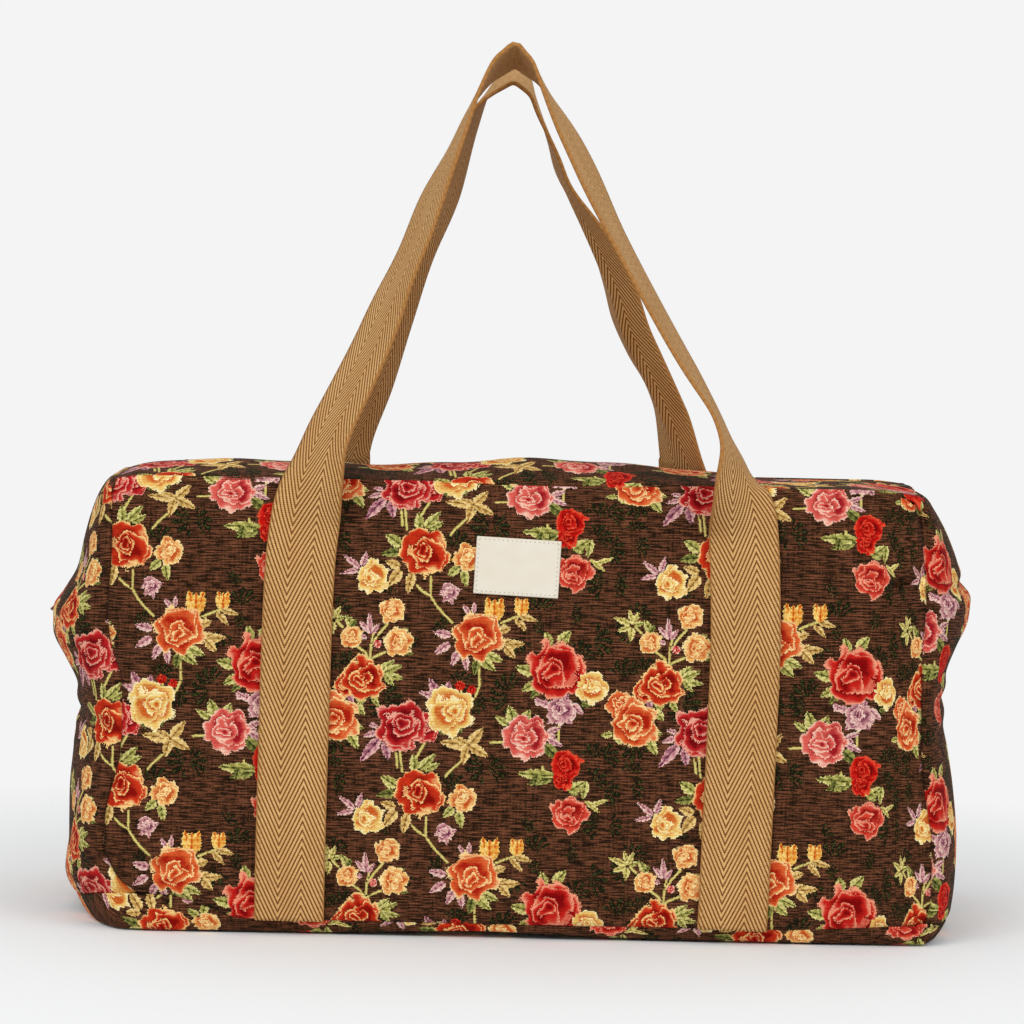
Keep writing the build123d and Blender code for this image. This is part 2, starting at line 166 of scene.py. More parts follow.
# (u and v of the base, run to the tip, width, palette, layer)
LEAVES = (
    (27.5, 28.6, -0.8, 10.4, 5.7, "olive", 0), (30.4, 29.8, 9.2, 9.4, 5.2, "olive", 1),
    (32.8, 29.3, 9.1, 4.1, 4.5, "olive", 0), (17, 19.5, -9.2, 6.1, 6.6, "olive", 0),
    (16.5, 15.6, -11.5, -1.4, 5.2, "fern", 1), (16.7, 7.1, -8.9, 3.4, 5.2, "tan", 0),
    (17.3, 5.3, -7.5, -9.6, 6.6, "tan", 1), (23.9, 3.7, -2.7, -11.9, 5.7, "tan", 0),
    (26.2, 6.1, 4.6, 4.8, 3.5, "tan", 0), (-6.3, 6, -10, 7.7, 3.5, "mauve", 0),
    (-5.1, 7.2, 3, 8.9, 3.8, "mauve", 1), (-7.4, 4.8, -10.2, -2.2, 3.3, "mauve", 1),
    (50.3, 7.8, -6.4, -5.8, 5.2, "olive", 0), (53.1, 6.1, 1.9, -10.2, 5.2, "olive", 1),
    (52, 12.5, -6.6, -1.3, 3.5, "bud", 0), (46.4, -31.3, -10.3, 2.1, 5, "mauve", 0),
    (46, -36, -9.1, -6.3, 5, "mauve", 1), (51.4, -40, -4.5, -9.2, 5, "mauve", 0),
    (54.9, -42.3, 1.3, -9.5, 4.5, "mauve", 1), (57.4, -19.2, -4.6, 6, 3.1, "mauve", 0),
    (59.2, -18.6, 0.7, 7.5, 2.8, "mauve", 1), (74.1, -28.3, 7, 2.3, 4.7, "tan", 0),
    (75.5, -35.4, 6.4, 2.3, 4.2, "tan", 1), (77.8, -35.9, 11.8, 0.8, 5.2, "tan", 0),
    (77.9, -37.1, 5.8, -6.6, 5.2, "tan", 1), (83.4, -20.4, 7, -8.1, 4, "tan", 0),
    (-85.3, -19.2, 10.7, -3, 4, "tan", 1), (67.3, -41.4, 10.2, -4.5, 5, "olive", 0),
    (64.4, -43.9, 8.5, -7.6, 6.1, "olive", 1), (62.1, -45.1, -1.8, -9, 5.4, "fern", 0),
    (0.4, -30.5, -6.4, 6.9, 3.5, "mauve", 0), (0.4, -31, -0.6, 12.7, 3.8, "mauve", 1),
    (1.2, -31, 4.6, 6, 3.1, "mauve", 0), (-1.3, -33.4, -4.7, 1.1, 2.8, "mauve", 1),
    (-9.1, -28.3, -4.9, 8, 5, "olive", 0), (-10.9, -27.7, 3.4, 4.8, 3.5, "fern", 1),
    (17.5, -29.5, 5.6, 1.1, 3.1, "fern", 0), (20.7, -41.2, 4.8, -1.3, 3.1, "fern", 1),
    (6.8, -52.2, 8.1, 6.5, 5, "olive", 0), (8, -53.3, 11.8, 5, 4.7, "olive", 1),
    (8.6, -54.5, 12.6, -1.9, 4.5, "olive", 0), (9.8, -54.5, 4.9, -6.4, 4, "olive", 1),
    (-6.4, 67.9, 5.8, 2.5, 4.7, "olive", 0), (-6.4, 65.5, 4.8, -5.2, 5.2, "olive", 1),
    (-9.7, 54.8, 7.7, -2.2, 4.7, "olive", 0), (-10.8, 51.2, 5.9, -11.2, 6.1, "olive", 1),
    (-12.4, -66.7, -5.4, 5.2, 4.2, "violet", 0), (-10.7, -65.5, 1.9, -5.9, 4, "violet", 1),
    (2.3, -66.4, 4.5, -7, 4, "olive", 0), (7.2, 46.9, -11.5, -13.9, 6.6, "violet", 0),
    (10.6, 45.2, 1.6, -10.9, 5.9, "violet", 1), (5.1, 50.4, -7.9, -2.5, 4, "mauve", 0),
    (5.7, 53.9, -5.9, 1.1, 3.1, "mauve", 1), (39.5, -67.4, -11.2, 3.9, 4.2, "mauve", 0),
    (40.1, -66.2, -5.5, 10.4, 5.9, "violet", 1), (44.8, -64.9, 1.6, 7.7, 4.7, "violet", 0),
    (51.6, 57.9, 1.9, -7.6, 4.2, "fern", 0), (41, 55.9, 3.1, -7, 4.7, "fern", 1),
    (57.8, 43.8, -16.8, 2, 6.4, "tan", 0), (57.8, 43.8, -3.3, -11.3, 5.9, "tan", 1),
    (58.4, 44.4, 8.4, 10.3, 6.1, "tan", 0), (58.4, 43.8, 11.6, -6.2, 5.9, "tan", 1),
    (57.8, 44.4, -9.5, 4.5, 4.2, "tan", 1), (-76.3, -51.5, -11.4, 3.1, 6.6, "olive", 0),
    (-73.8, -57.3, -9.9, -4.9, 5.7, "olive", 1), (-73.2, -61.4, -5.2, -4.8, 4.2, "fern", 0),
    (-67.8, -36, -2.2, 8.2, 5.9, "olive", 0), (-62.5, -34.7, 6.9, 7.7, 6.6, "olive", 1),
    (84.1, 56.2, -3.8, 11.6, 7.3, "olive", 0), (-82.2, 57.5, 4, 8, 6.4, "olive", 1),
    (80, 56.1, -7.7, 5.6, 4, "olive", 1), (-67.9, 52.5, 7.8, 3, 4, "mauve", 0),
    (-67.8, 48.9, 9.2, -4.5, 4.2, "mauve", 1), (-68.5, 50.7, 5.9, -0.5, 3.1, "mauve", 0),
    (-69.5, 45.3, 9.2, -8.7, 6.6, "fern", 0), (-63.8, 27.3, -21.9, 1.3, 6.8, "olive", 0),
    (-73.3, 28.3, -1.6, -7.1, 5.2, "fern", 1), (-65, 26.1, -14.1, -3.8, 5.2, "fern", 0),
    (-55.4, 18.6, 9.3, 6.1, 6.1, "olive", 1), (-45.5, 24.7, -1.5, -10.7, 5.2, "olive", 0),
    (-49.4, 17.6, -7.2, 3.4, 4.7, "fern", 0), (-44.6, 12.9, 8.2, -6.4, 3.1, "pale", 0),
    (-42.2, 11.2, 10.8, 3.4, 2.8, "pale", 1), (-20.2, -23.1, -2.8, 8.7, 3.8, "pale", 0),
    (-20.2, -23.1, 3.4, 7.7, 3.5, "pale", 1), (-21.4, -23.2, -10.5, 4.3, 3.8, "pale", 0),
    (-21.4, -24.3, -8, -3, 3.5, "pale", 1), (-20.8, -24.9, -0.7, -7.9, 4.2, "pale", 0),
    (-19.1, -23.1, 5.3, 1.3, 3.3, "olive", 1), (-72.4, 67.7, -3, 4.7, 4.2, "mauve", 0),
    (-62.8, 62, -5.8, -4.8, 4.7, "mauve", 1), (-56.9, 62.1, 2.5, -5.4, 4.7, "mauve", 0),
    (-54.7, -68.7, 7.2, -6.3, 4.7, "mauve", 1), (-59.4, 68, 2.8, 7.1, 4.2, "violet", 0),
    (-67.7, 67.8, -6.6, 2.8, 4.5, "mauve", 1), (-60.5, 64.4, -1.1, -5.9, 4.2, "pinkleaf", 0),
    (-48.8, -68.6, 5.3, -1.7, 3.1, "fern", 0), (45.3, -6.5, -6.5, -1.6, 3.3, "mauve", 0),
    (45.3, -6.5, 0.1, 5.9, 3.3, "mauve", 1), (45.9, -6.5, 6.9, 1.6, 3.3, "mauve", 0),
    (45.9, -7.1, 1, -7.2, 3.3, "mauve", 1), (44.8, -7.1, -3.3, -5.9, 3.3, "pinkleaf", 0),
    (51.2, -63, -1.7, -1.8, 2.4, "olive", 1), (58.4, -65.2, -2.4, 2.3, 2.6, "olive", 1),
    (70.5, -22, -3.6, 13.6, 7.4, "bud", 0), (71.5, -22, 4.2, 13.4, 7.4, "bud", 0),
    (71, -21.6, 0.4, 12.2, 6.4, "bud", 1), (-84.6, -19, -2.6, 10.6, 5.6, "bud", 0),
    (-84, -19, 2.8, 10.4, 5.6, "bud", 0), (-84.3, -18.6, 0.2, 9.2, 4.8, "bud", 1),
    (-24.7, 47.5, -6, 3.4, 3.5, "olive", 0), (-30.7, 52.1, -7.1, -0.7, 3.8, "olive", 1),
)
# (u, v, run)
STEMS = (
    (34.5, 1.8, 0, -10.9), (34.5, -9.1, 3.9, -5.8), (38.4, -14.9, 4.2, -4.6),
    (42.7, -19.5, 4.5, -4.4), (26.6, -3.3, 3.4, -3.2), (30, -6.6, 4.5, -2.3),
    (62.9, -45.1, 0.4, -8.3), (63.3, -53.3, 0.3, -6.5), (63.6, -59.8, -2.2, -6),
    (61.3, -65.8, -2.9, -3.6), (3.3, -26.9, -1.9, -8.9), (1.3, -35.7, -0.7, -10.4),
    (10.3, -25.5, -5.2, -6), (5.1, -31.5, -3.3, -5.4), (-7.1, -38.3, 4.8, -3.4),
    (-2.3, -41.7, 2.9, -4.4), (9.5, -41.5, -5.9, -2.5), (3.6, -44, -2.8, -1.9),
    (0.6, -46.2, -1, -2.6), (75.2, -23.6, 5.8, 2.5), (81.1, -21.1, 6.4, 2.5),
    (78.8, -28.2, -2.5, 4.7), (16.6, 38.9, 1, -8.2), (18.7, 41.2, 1.1, -9.4),
    (19.8, 31.8, 0.5, -3.5), (53.3, 34.3, -5.8, -5.4), (47.5, 28.9, -2.3, -3),
    (28.4, 36.7, 4.5, 8.4), (-70.4, 32.5, 0.7, -4.7), (-69.7, 27.8, -2.3, -2.4),
    (70.8, 45.9, 7.1, 0.4), (-45.2, 12.9, 5.3, -1.7), (-19, -24.3, 3.6, -3.5),
    (53, -62.4, 0.7, -4.1), (53.7, -66.5, -1.1, -3), (58.7, -64.6, -1.4, -4.8),
    (-61.5, 56.1, -0.1, -7.7),
)
# (u, v, reach, turn in degrees)
SPRIGS = (
    (63.4, 31.7, 8.3, 200), (72.9, 30.7, 7.1, 20), (-39, 26, 7.3, 40), (-31.8, 18.5, 7.1, 350),
    (-40.8, 1.2, 8.3, 180), (-73, -13, 7.3, 100), (-47.7, -39.1, 7.1, 60), (-38.9, -33, 8.3, 10),
    (79.5, -58.9, 7.8, 120), (76.1, -66.6, 7.6, 200), (-24.4, -49.2, 7.8, 90),
    (-24.9, -26.8, 6.5, 200), (21.2, -36.5, 5.9, 300), (12.4, -68, 8.3, 20), (5.4, 65.7, 5.9, 200),
    (-18.9, 43.4, 7.1, 270), (62.6, 68.1, 5.9, 340), (41.6, -26.6, 5.9, 150),
    (-16.4, -16.1, 6.1, 60), (53.5, -55.9, 5.9, 80), (-73.3, -24.3, 5.2, 200),
    (-50, -68.6, 5.9, 300), (-12.8, -46.7, 5.9, 120), (-19.9, -48, 4.7, 20), (9.9, -3.7, 4.7, 240),
    (49.4, 21.9, 7.1, 100), (-39.9, 41.3, 7.1, 90), (-32.8, 40.2, 7.1, 30),
    (83.7, -35.2, 7.1, 270), (-78.5, -1.9, 4.7, 45), (-29, -0.9, 5.9, 0), (-16.7, 21.7, 5.9, 0),
    (-19.2, 32.3, 5.2, 90), (-53.4, -17.9, 4.7, 0), (40, 22.9, 4.7, 20),
)


class CarpetBagShape(PropertyGroup):
    """Sizes of the soft forms that a user would change."""
    puff: FloatProperty(
        name="Puff", description="How far the middle of a face stands out",
        default=0.002, min=0, max=0.006, unit="LENGTH")
    unevenness: FloatProperty(
        name="Unevenness", description="Height of the slow waves in the stuffed cloth",
        default=0.0012, min=0, max=0.004, unit="LENGTH")
    groove: FloatProperty(
        name="Seam groove", description="How deep the cloth is drawn in at a seam",
        default=0.0016, min=0, max=0.003, unit="LENGTH")
    corner: FloatProperty(
        name="Corner rounding", description="How far a face curves back at its upright seams",
        default=0.006, min=0, max=0.012, unit="LENGTH")
    mesh_step: FloatProperty(
        name="Mesh step", description="Distance between the mesh points of the cloth",
        default=0.0021, min=0.0015, max=0.01, unit="LENGTH")


class CarpetBagPrint(PropertyGroup):
    """Sizes of the woven print."""
    repeat_width: FloatProperty(
        name="Repeat width", description="Distance after which the print repeats along the bag",
        default=0.171, min=0.05, max=0.5, unit="LENGTH")
    repeat_height: FloatProperty(
        name="Repeat height", description="Distance after which the print repeats up the bag",
        default=0.138, min=0.05, max=0.5, unit="LENGTH")
    thread: FloatProperty(
        name="Thread", description="Width of one woven step of the print",
        default=0.0006, min=0.0002, max=0.003, unit="LENGTH")
    rib: FloatProperty(
        name="Rib", description="Height of one horizontal rib of the weave",
        default=0.0017, min=0.0004, max=0.004, unit="LENGTH")


class CarpetBagColours(PropertyGroup):
    """Colours of the plain finishes."""
    ground: FloatVectorProperty(
        name="Ground", description="Brown between the flowers",
        subtype="COLOR_GAMMA", size=3, default=(0.35, 0.212, 0.135), min=0, max=1)
    streak: FloatVectorProperty(
        name="Streaks", description="Reddish streaks in the ground",
        subtype="COLOR_GAMMA", size=3, default=(0.48, 0.29, 0.20), min=0, max=1)
    # The colour of the ground's black-green threads, also used for the painted shade between the
    # ribs
    shadow_thread: FloatVectorProperty(
        name="Dark threads", description="Black-green threads in the ground",
        subtype="COLOR_GAMMA", size=3, default=(0.14, 0.09, 0.045), min=0, max=1)
    webbing_light: FloatVectorProperty(
        name="Webbing", description="Raised ribs of the handles' webbing",
        subtype="COLOR_GAMMA", size=3, default=(0.93, 0.745, 0.49), min=0, max=1)
    # Painted shade: this dark colour stands in for the shade in the herringbone's grooves
    webbing_groove_shade: FloatVectorProperty(
        name="Webbing grooves", description="Grooves of the herringbone",
        subtype="COLOR_GAMMA", size=3, default=(0.45, 0.26, 0.085), min=0, max=1)
    label: FloatVectorProperty(
        name="Label", description="Cotton of the bare label",
        subtype="COLOR_GAMMA", size=3, default=(0.93, 0.90, 0.84), min=0, max=1)
    tape: FloatVectorProperty(
        name="Zip tape", description="Woven tape of the zip",
        subtype="COLOR_GAMMA", size=3, default=(0.20, 0.15, 0.11), min=0, max=1)
    brass: FloatVectorProperty(
        name="Brass", description="Teeth, slider, puller and stops",
        subtype="COLOR_GAMMA", size=3, default=(0.83, 0.67, 0.38), min=0, max=1)
    leather: FloatVectorProperty(
        name="Leather", description="Tab at the left end",
        subtype="COLOR_GAMMA", size=3, default=(0.45, 0.25, 0.13), min=0, max=1)


class CarpetBagStage(PropertyGroup):
    """Lamps, floor and camera."""
    key: FloatProperty(name="Key lamp", description="Power of the large front lamp",
                       default=25, min=0, unit="POWER")
    fill: FloatProperty(name="Fill lamp", description="Power of the lamp at the right",
                        default=20, min=0, unit="POWER")
    overhead: FloatProperty(name="Overhead lamp", description="Power of the lamp above the bag",
                            default=4, min=0, unit="POWER")
    surround: FloatProperty(name="Surround", description="Strength of the even light all round",
                            default=0.54, min=0)
    floor: FloatProperty(name="Floor", description="How pale the floor is", default=0.97,
                         min=0, max=1, subtype="FACTOR")
    backdrop: FloatProperty(name="Backdrop", description="How pale the background shows",
                            default=0.905, min=0, max=1, subtype="FACTOR")
    lens: FloatProperty(name="Lens", description="Focal length of the camera", default=135.7,
                        min=20, unit="CAMERA")
    roll: FloatProperty(name="Camera roll", description="How far the camera is turned",
                        default=math.radians(1.2), subtype="ANGLE", unit="ROTATION")


def linear(colour):
    """The linear value of an sRGB colour from 0 to 1, by the sRGB curve."""
    c = np.asarray(colour, float)
    return np.where(c <= 0.04045, c / 12.92, ((c + 0.055) / 1.055) ** 2.4)


def rgba(colour):
    """A linear colour with full alpha, as a node socket takes it."""
    return (*(float(c) for c in linear(colour)), 1.0)


def quarter_ellipse(x, left, right):
    """The share by which the top has risen between two ends: a quarter ellipse over END_FALL."""
    from_end = np.clip(np.minimum(x - left, right - x) / END_FALL, 0, 1)
    return np.sqrt(1 - (1 - from_end) ** 2)


def through(points, at):
    """Smooth curve through (place, value) points: one cubic between each two, whose slope at a
    point is the harmonic mean of the straight slopes beside it, so it never overshoots."""
    place, value = np.array(points, float).T
    step = np.diff(place)
    slope = np.diff(value) / step
    tangent = np.concatenate(([slope[0]], np.zeros(len(slope) - 1), [slope[-1]]))
    before, after = slope[:-1], slope[1:]
    alike = before * after > 0
    tangent[1:-1][alike] = (2 * before * after)[alike] / (before + after)[alike]
    at = np.clip(np.asarray(at, float), place[0], place[-1])
    i = np.clip(np.searchsorted(place, at, side="right") - 1, 0, len(step) - 1)
    s = (at - place[i]) / step[i]
    return (
        value[i] * (1 + 2 * s) * (1 - s) ** 2
        + tangent[i] * step[i] * s * (1 - s) ** 2
        + value[i + 1] * s * s * (3 - 2 * s)
        + tangent[i + 1] * step[i] * s * s * (s - 1)
    )


def ramp(low, high, at):
    """0 below low, 1 above high, and the smooth step 3s^2 - 2s^3 between."""
    s = np.clip((at - low) / (high - low), 0, 1)
    return s * s * (3 - 2 * s)


def smoothed(values, passes):
    """Values evened out by repeated passes: each takes the mean of itself, twice, and of its
    two neighbours."""
    values = values.copy()
    for _ in range(passes):
        values[1:-1] = (values[:-2] + 2 * values[1:-1] + values[2:]) / 4
    return values


def added_up(steps, axis=0):
    """The running total of the steps along an axis, from 0."""
    return np.concatenate((np.zeros_like(np.take(steps, [0], axis)), np.cumsum(steps, axis)), axis)


def spaced(length, step):
    """Shares of a length from 0 to 1, a step apart and closer at both ends for the seams."""
    edge = np.array([0, 0.8, 1.6, 2.5, 3.8])
    inner = np.linspace(5.5, length - 5.5, max(2, int((length - 11) / step)))
    return np.concatenate((edge, inner, length - edge[::-1])) / length


def seam_groove(distance, depth):
    """How far cloth is drawn in beside a seam: depth times a bell curve of the distance."""
    return depth * np.exp(-((distance / 1.7) ** 2))


def fold(x, z, path, width, height):
    """A crease along a line of points: a valley that is a bell curve of the distance to the
    line, with a lower ridge on either side."""
    near = np.full(np.shape(x), 1e9)
    for (x0, z0), (x1, z1) in zip(path, path[1:]):
        dx, dz = x1 - x0, z1 - z0
        s = np.clip(((x - x0) * dx + (z - z0) * dz) / (dx * dx + dz * dz), 0, 1)
        near = np.minimum(near, np.hypot(x - x0 - s * dx, z - z0 - s * dz))
    valley = np.exp(-((near / width) ** 2))
    ridge = np.exp(-(((near - 2.1 * width) / width) ** 2))
    return height * (0.55 * ridge - valley)


FRONT_FOLDS = (
    (((229, 252), (234, 236), (235.5, 222), (228, 213), (216, 208)), 3.2, 4.0),
    (((217, 209), (240, 205), (262, 206)), 3.4, 2.4),
    (((-252, 36), (-232, 41), (-206, 40)), 4.2, 3.4),
    (((-262, 122), (-244, 120), (-232, 116)), 4.0, 2.4),
    (((254, 141), (243, 138), (232, 141)), 4.0, 2.2),
    (((-236, 230), (-228, 214), (-224, 196)), 4.0, 1.2),
)
BACK_FOLDS = (
    (((-229, 250), (-233, 230), (-224, 212)), 3.4, 2.4),
    (((246, 44), (228, 40), (211, 44)), 3.6, 2.0),
    (((-262, 124), (-244, 122), (-230, 118)), 4.0, 2.2),
    (((254, 138), (243, 136), (232, 133)), 4.0, 2.2),
)


def folds(x, z, side):
    """All creases of one side of the bag, added up. side is -1 for the front, 1 for the back."""
    total = np.zeros(np.shape(x))
    for path, width, height in FRONT_FOLDS if side < 0 else BACK_FOLDS:
        total = total + fold(x, z, path, width, height)
    return total


def end_outline(sign, z):
    """How far out the left (-1) or the right (1) end stands at a height."""
    return through(LEFT_END if sign < 0 else RIGHT_END, z)


def crest_of(side, x):
    """Height of the soft roll's top along the bag."""
    return through(CREST if side < 0 else BACK_CREST, x)


def corner_of(sign, z):
    """How far out the upright seam of the left (-1) or the right (1) end lies at a height."""
    return through(LEFT_SEAM if sign < 0 else RIGHT_SEAM, z)


def foot_seam(x, deep=1.0):
    """Height of the seam round the bottom: FOOT_SEAM, and higher at the corners of both ends,
    the most at the left. deep is 0 at the middle of an end and 1 at its corners."""
    return FOOT_SEAM + (13 * ramp(172, 214, -x) + 3 * ramp(150, 235, x)) * deep ** 2


def face_depth(x, z, side):
    """How far a face stands out at (x, z): the half depth at that height, less a rounding that
    grows exponentially towards the upright seams, plus a low crown and slow sine waves."""
    shape = bpy.context.scene.carpet_bag_shape
    near = np.clip(np.minimum(x + corner_of(-1, z), corner_of(1, z) - x), 0, None)
    inner = 1 - np.exp(-near / 18)
    phase = 0.0 if side < 0 else 2.1
    waves = (
        np.sin(x / 58 + z / 71 + 0.4 + phase)
        + 0.6 * np.sin(x / 27 - z / 43 + 1.9 + phase)
        + 0.4 * np.sin(x / 17 + z / 24 + 3.1 * phase)
    )
    return (
        through(HALF_DEPTH, z)
        - shape.corner / MM * (1 - inner)
        + shape.puff / MM * inner * (1 - ((z - 125) / 150) ** 2)
        + shape.unevenness / MM * inner * waves * 0.6
    )


def end_rise(x):
    """The quarter ellipse by which the top falls away between the corners of the top seams."""
    return quarter_ellipse(x, -corner_of(-1, TOP_SEAM), corner_of(1, TOP_SEAM))


def drop_of(side):
    """How much lower than the front's the top seam of a side lies."""
    return BACK_DROP if side > 0 else 0


def top_corner(sign, side):
    """Height of a face's top corner: a little below its top seam, and lower at the back."""
    return (257.0 if sign < 0 else 255.0) - drop_of(side)


def seam_top(x, side):
    """Height of the seam between a face and its top strip: level, falling at the corners."""
    corner = np.where(x < 0, top_corner(-1, side), top_corner(1, side))
    return corner + (TOP_SEAM - drop_of(side) - corner) * end_rise(x)


def end_top(share, sign):
    """Height of an end panel's top seam, from its front corner round to its back one."""
    fall = BACK_DROP * ramp(0.3, 1.0, share)
    return top_corner(sign, -1) - fall + 5.0 * np.sin(math.pi * share)


def end_plan(share, z, sign):
    """Plan of a bulging end: x swings out from the seam by a sine raised to 0.9, and y goes
    from the front seam to the back one as a cosine."""
    seam = corner_of(sign, z)
    reach = np.maximum(end_outline(sign, z), seam + 0.5)
    swing = np.clip(np.sin(math.pi * share), 0, 1) ** 0.9
    x = sign * (seam + (reach - seam) * swing)
    return x, -face_depth(sign * seam, z, -1) * np.cos(math.pi * share)


def grid_piece(name, points, cloth, outward, slot, node, material):
    """A piece from a grid of points: each four neighbours make one face, turned so that the
    whole grid faces outward, a rough direction or the point that it faces away from."""
    rows, cols = points.shape[:2]
    corner = (np.arange(rows - 1)[:, None] * cols + np.arange(cols - 1)[None, :]).ravel()
    quads = np.stack((corner, corner + 1, corner + cols + 1, corner + cols), 1)
    flat = points.reshape(-1, 3)
    a, b, c, d = (flat[quads[:, i]] for i in range(4))
    normal = np.cross(c - a, d - b)
    away = (a + b + c + d) / 4 - np.asarray(outward, float)
    if np.sum(normal * away) < 0:
        quads = quads[:, ::-1]
    mesh = bpy.data.meshes.new(name)
    mesh.vertices.add(len(flat))
    mesh.vertices.foreach_set("co", (flat * MM).astype(np.float32).ravel())
    mesh.loops.add(quads.size)
    mesh.loops.foreach_set("vertex_index", quads.astype(np.int32).ravel())
    mesh.polygons.add(len(quads))
    mesh.polygons.foreach_set("loop_start", np.arange(0, quads.size, 4, dtype=np.int32))
    mesh.polygons.foreach_set("use_smooth", np.ones(len(quads), bool))
    mesh.update(calc_edges=True)
    layer = mesh.uv_layers.new(name="Cloth")
    on_cloth = cloth.reshape(-1, 2)[quads]
    layer.uv.foreach_set("vector", on_cloth.astype(np.float32).ravel())
    mesh.materials.append(material)
    piece = bpy.data.objects.new(name, mesh)
    bpy.context.scene.collection.objects.link(piece)
    if slot == "tapestry":
        place_print(mesh, on_cloth.mean(1))
    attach(piece, "bag")
    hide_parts(node)
    return piece


def panel_piece(node, surface, faces_from, thickness=CLOTH):
    """A panel of tapestry that stands for a solid: the piece from its points and its cloth,
    turned to face away from a point, with the cloth's thickness inwards."""
    piece = grid_piece(node + "_cloth", *surface, faces_from, "tapestry", node,
                       bpy.data.materials["Rose tapestry"])
    return thicken(piece, thickness, -1)


def thicken(piece, thickness, offset):
    """Gives the piece its cloth's thickness, inwards for offset -1 and to both sides for 0."""
    solid = piece.modifiers.new("Thickness", "SOLIDIFY")
    solid.thickness = thickness * MM
    solid.offset = offset
    solid.use_even_offset = False
    return piece


def nearest(rows, at, half_width):
    """For each place on the cloth, the row of a table that is relatively nearest, and that
    motif's own place, moved by whole repeats to the copy that lies there. A row starts with
    its (u, v), then a run (du, dv) to its other end, then its size."""
    size = bpy.context.scene.carpet_bag_print
    tile = np.array([size.repeat_width, size.repeat_height]) / MM
    table = np.array([row[:5] for row in rows], float)
    middle = table[:, :2] + table[:, 2:4] / 2
    best = np.full(len(at), 1e9)
    chosen = np.zeros(len(at), int)
    start = np.zeros((len(at), 2))
    for i in range(len(table)):
        gap = at - middle[i]
        gap = gap - tile * np.round(gap / tile)
        run = table[i, 2:4]
        along = np.zeros(len(at))
        if run.any():
            along = np.clip(gap @ run / (run @ run), -0.5, 0.5)
        distance = np.hypot(*(gap - along[:, None] * run).T) / table[i, 4] ** half_width
        closer = distance < best
        best = np.where(closer, distance, best)
        chosen = np.where(closer, i, chosen)
        start = np.where(closer[:, None], at - gap - run / 2, start)
    return chosen, start, table


def place_print(mesh, at):
    """Writes on each face of the cloth which flower, leaf, stem and sprig lies there, as two
    vectors a layer: its place with its palette's row, and its turn and size."""
    rows = {name: (i + 0.5) / len(PALETTES) for i, name in enumerate(PALETTES)}

    def write(name, values):
        attribute = mesh.attributes.new(name, "FLOAT_VECTOR", "FACE")
        attribute.data.foreach_set("vector", np.asarray(values, np.float32).ravel())

    for layer in (0, 1):
        own = [f for f in FLOWERS if f[6] == layer]
        turn = np.radians([f[3] for f in own])
        radius = np.array([f[2] for f in own])
        spec = [(f[0], f[1], 0, 0, f[2]) for f in own]
        chosen, start, _ = nearest(spec, at, 1)
        palette = np.array([rows[f[5]] for f in own])
        petals = np.array([f[4] for f in own], float)
        write(f"flower_place_{layer}", np.column_stack((start, palette[chosen])))
        write(f"flower_turn_{layer}", np.column_stack((
            (np.cos(turn) / radius)[chosen], (np.sin(turn) / radius)[chosen],
            petals[chosen])))
    for layer in (0, 1):
        own = [leaf for leaf in LEAVES if leaf[6] == layer]
        chosen, start, table = nearest([leaf[:5] for leaf in own], at, 0.4)
        palette = np.array([rows[leaf[5]] for leaf in own])
        run = table[:, 2:4]
        length = np.hypot(*run.T)
        write(f"leaf_place_{layer}", np.column_stack((start, palette[chosen])))
        write(f"leaf_turn_{layer}", np.column_stack((
            (run / length[:, None] ** 2)[chosen], (2 * length / table[:, 4])[chosen])))
    chosen, start, table = nearest([(*s, 1.0) for s in STEMS], at, 0)
    write("stem_place", np.column_stack((start, np.zeros(len(at)))))
    write("stem_run", np.column_stack((table[chosen, 2:4], np.zeros(len(at)))))
    chosen, start, _ = nearest([(s[0], s[1], 0, 0, s[2]) for s in SPRIGS], at, 1)
    turn = np.radians([s[3] for s in SPRIGS])
    reach = np.array([s[2] for s in SPRIGS])
    write("sprig_place", np.column_stack((start, np.zeros(len(at)))))
    write("sprig_turn", np.column_stack((
        (np.cos(turn) / reach)[chosen], (np.sin(turn) / reach)[chosen], turn[chosen])))


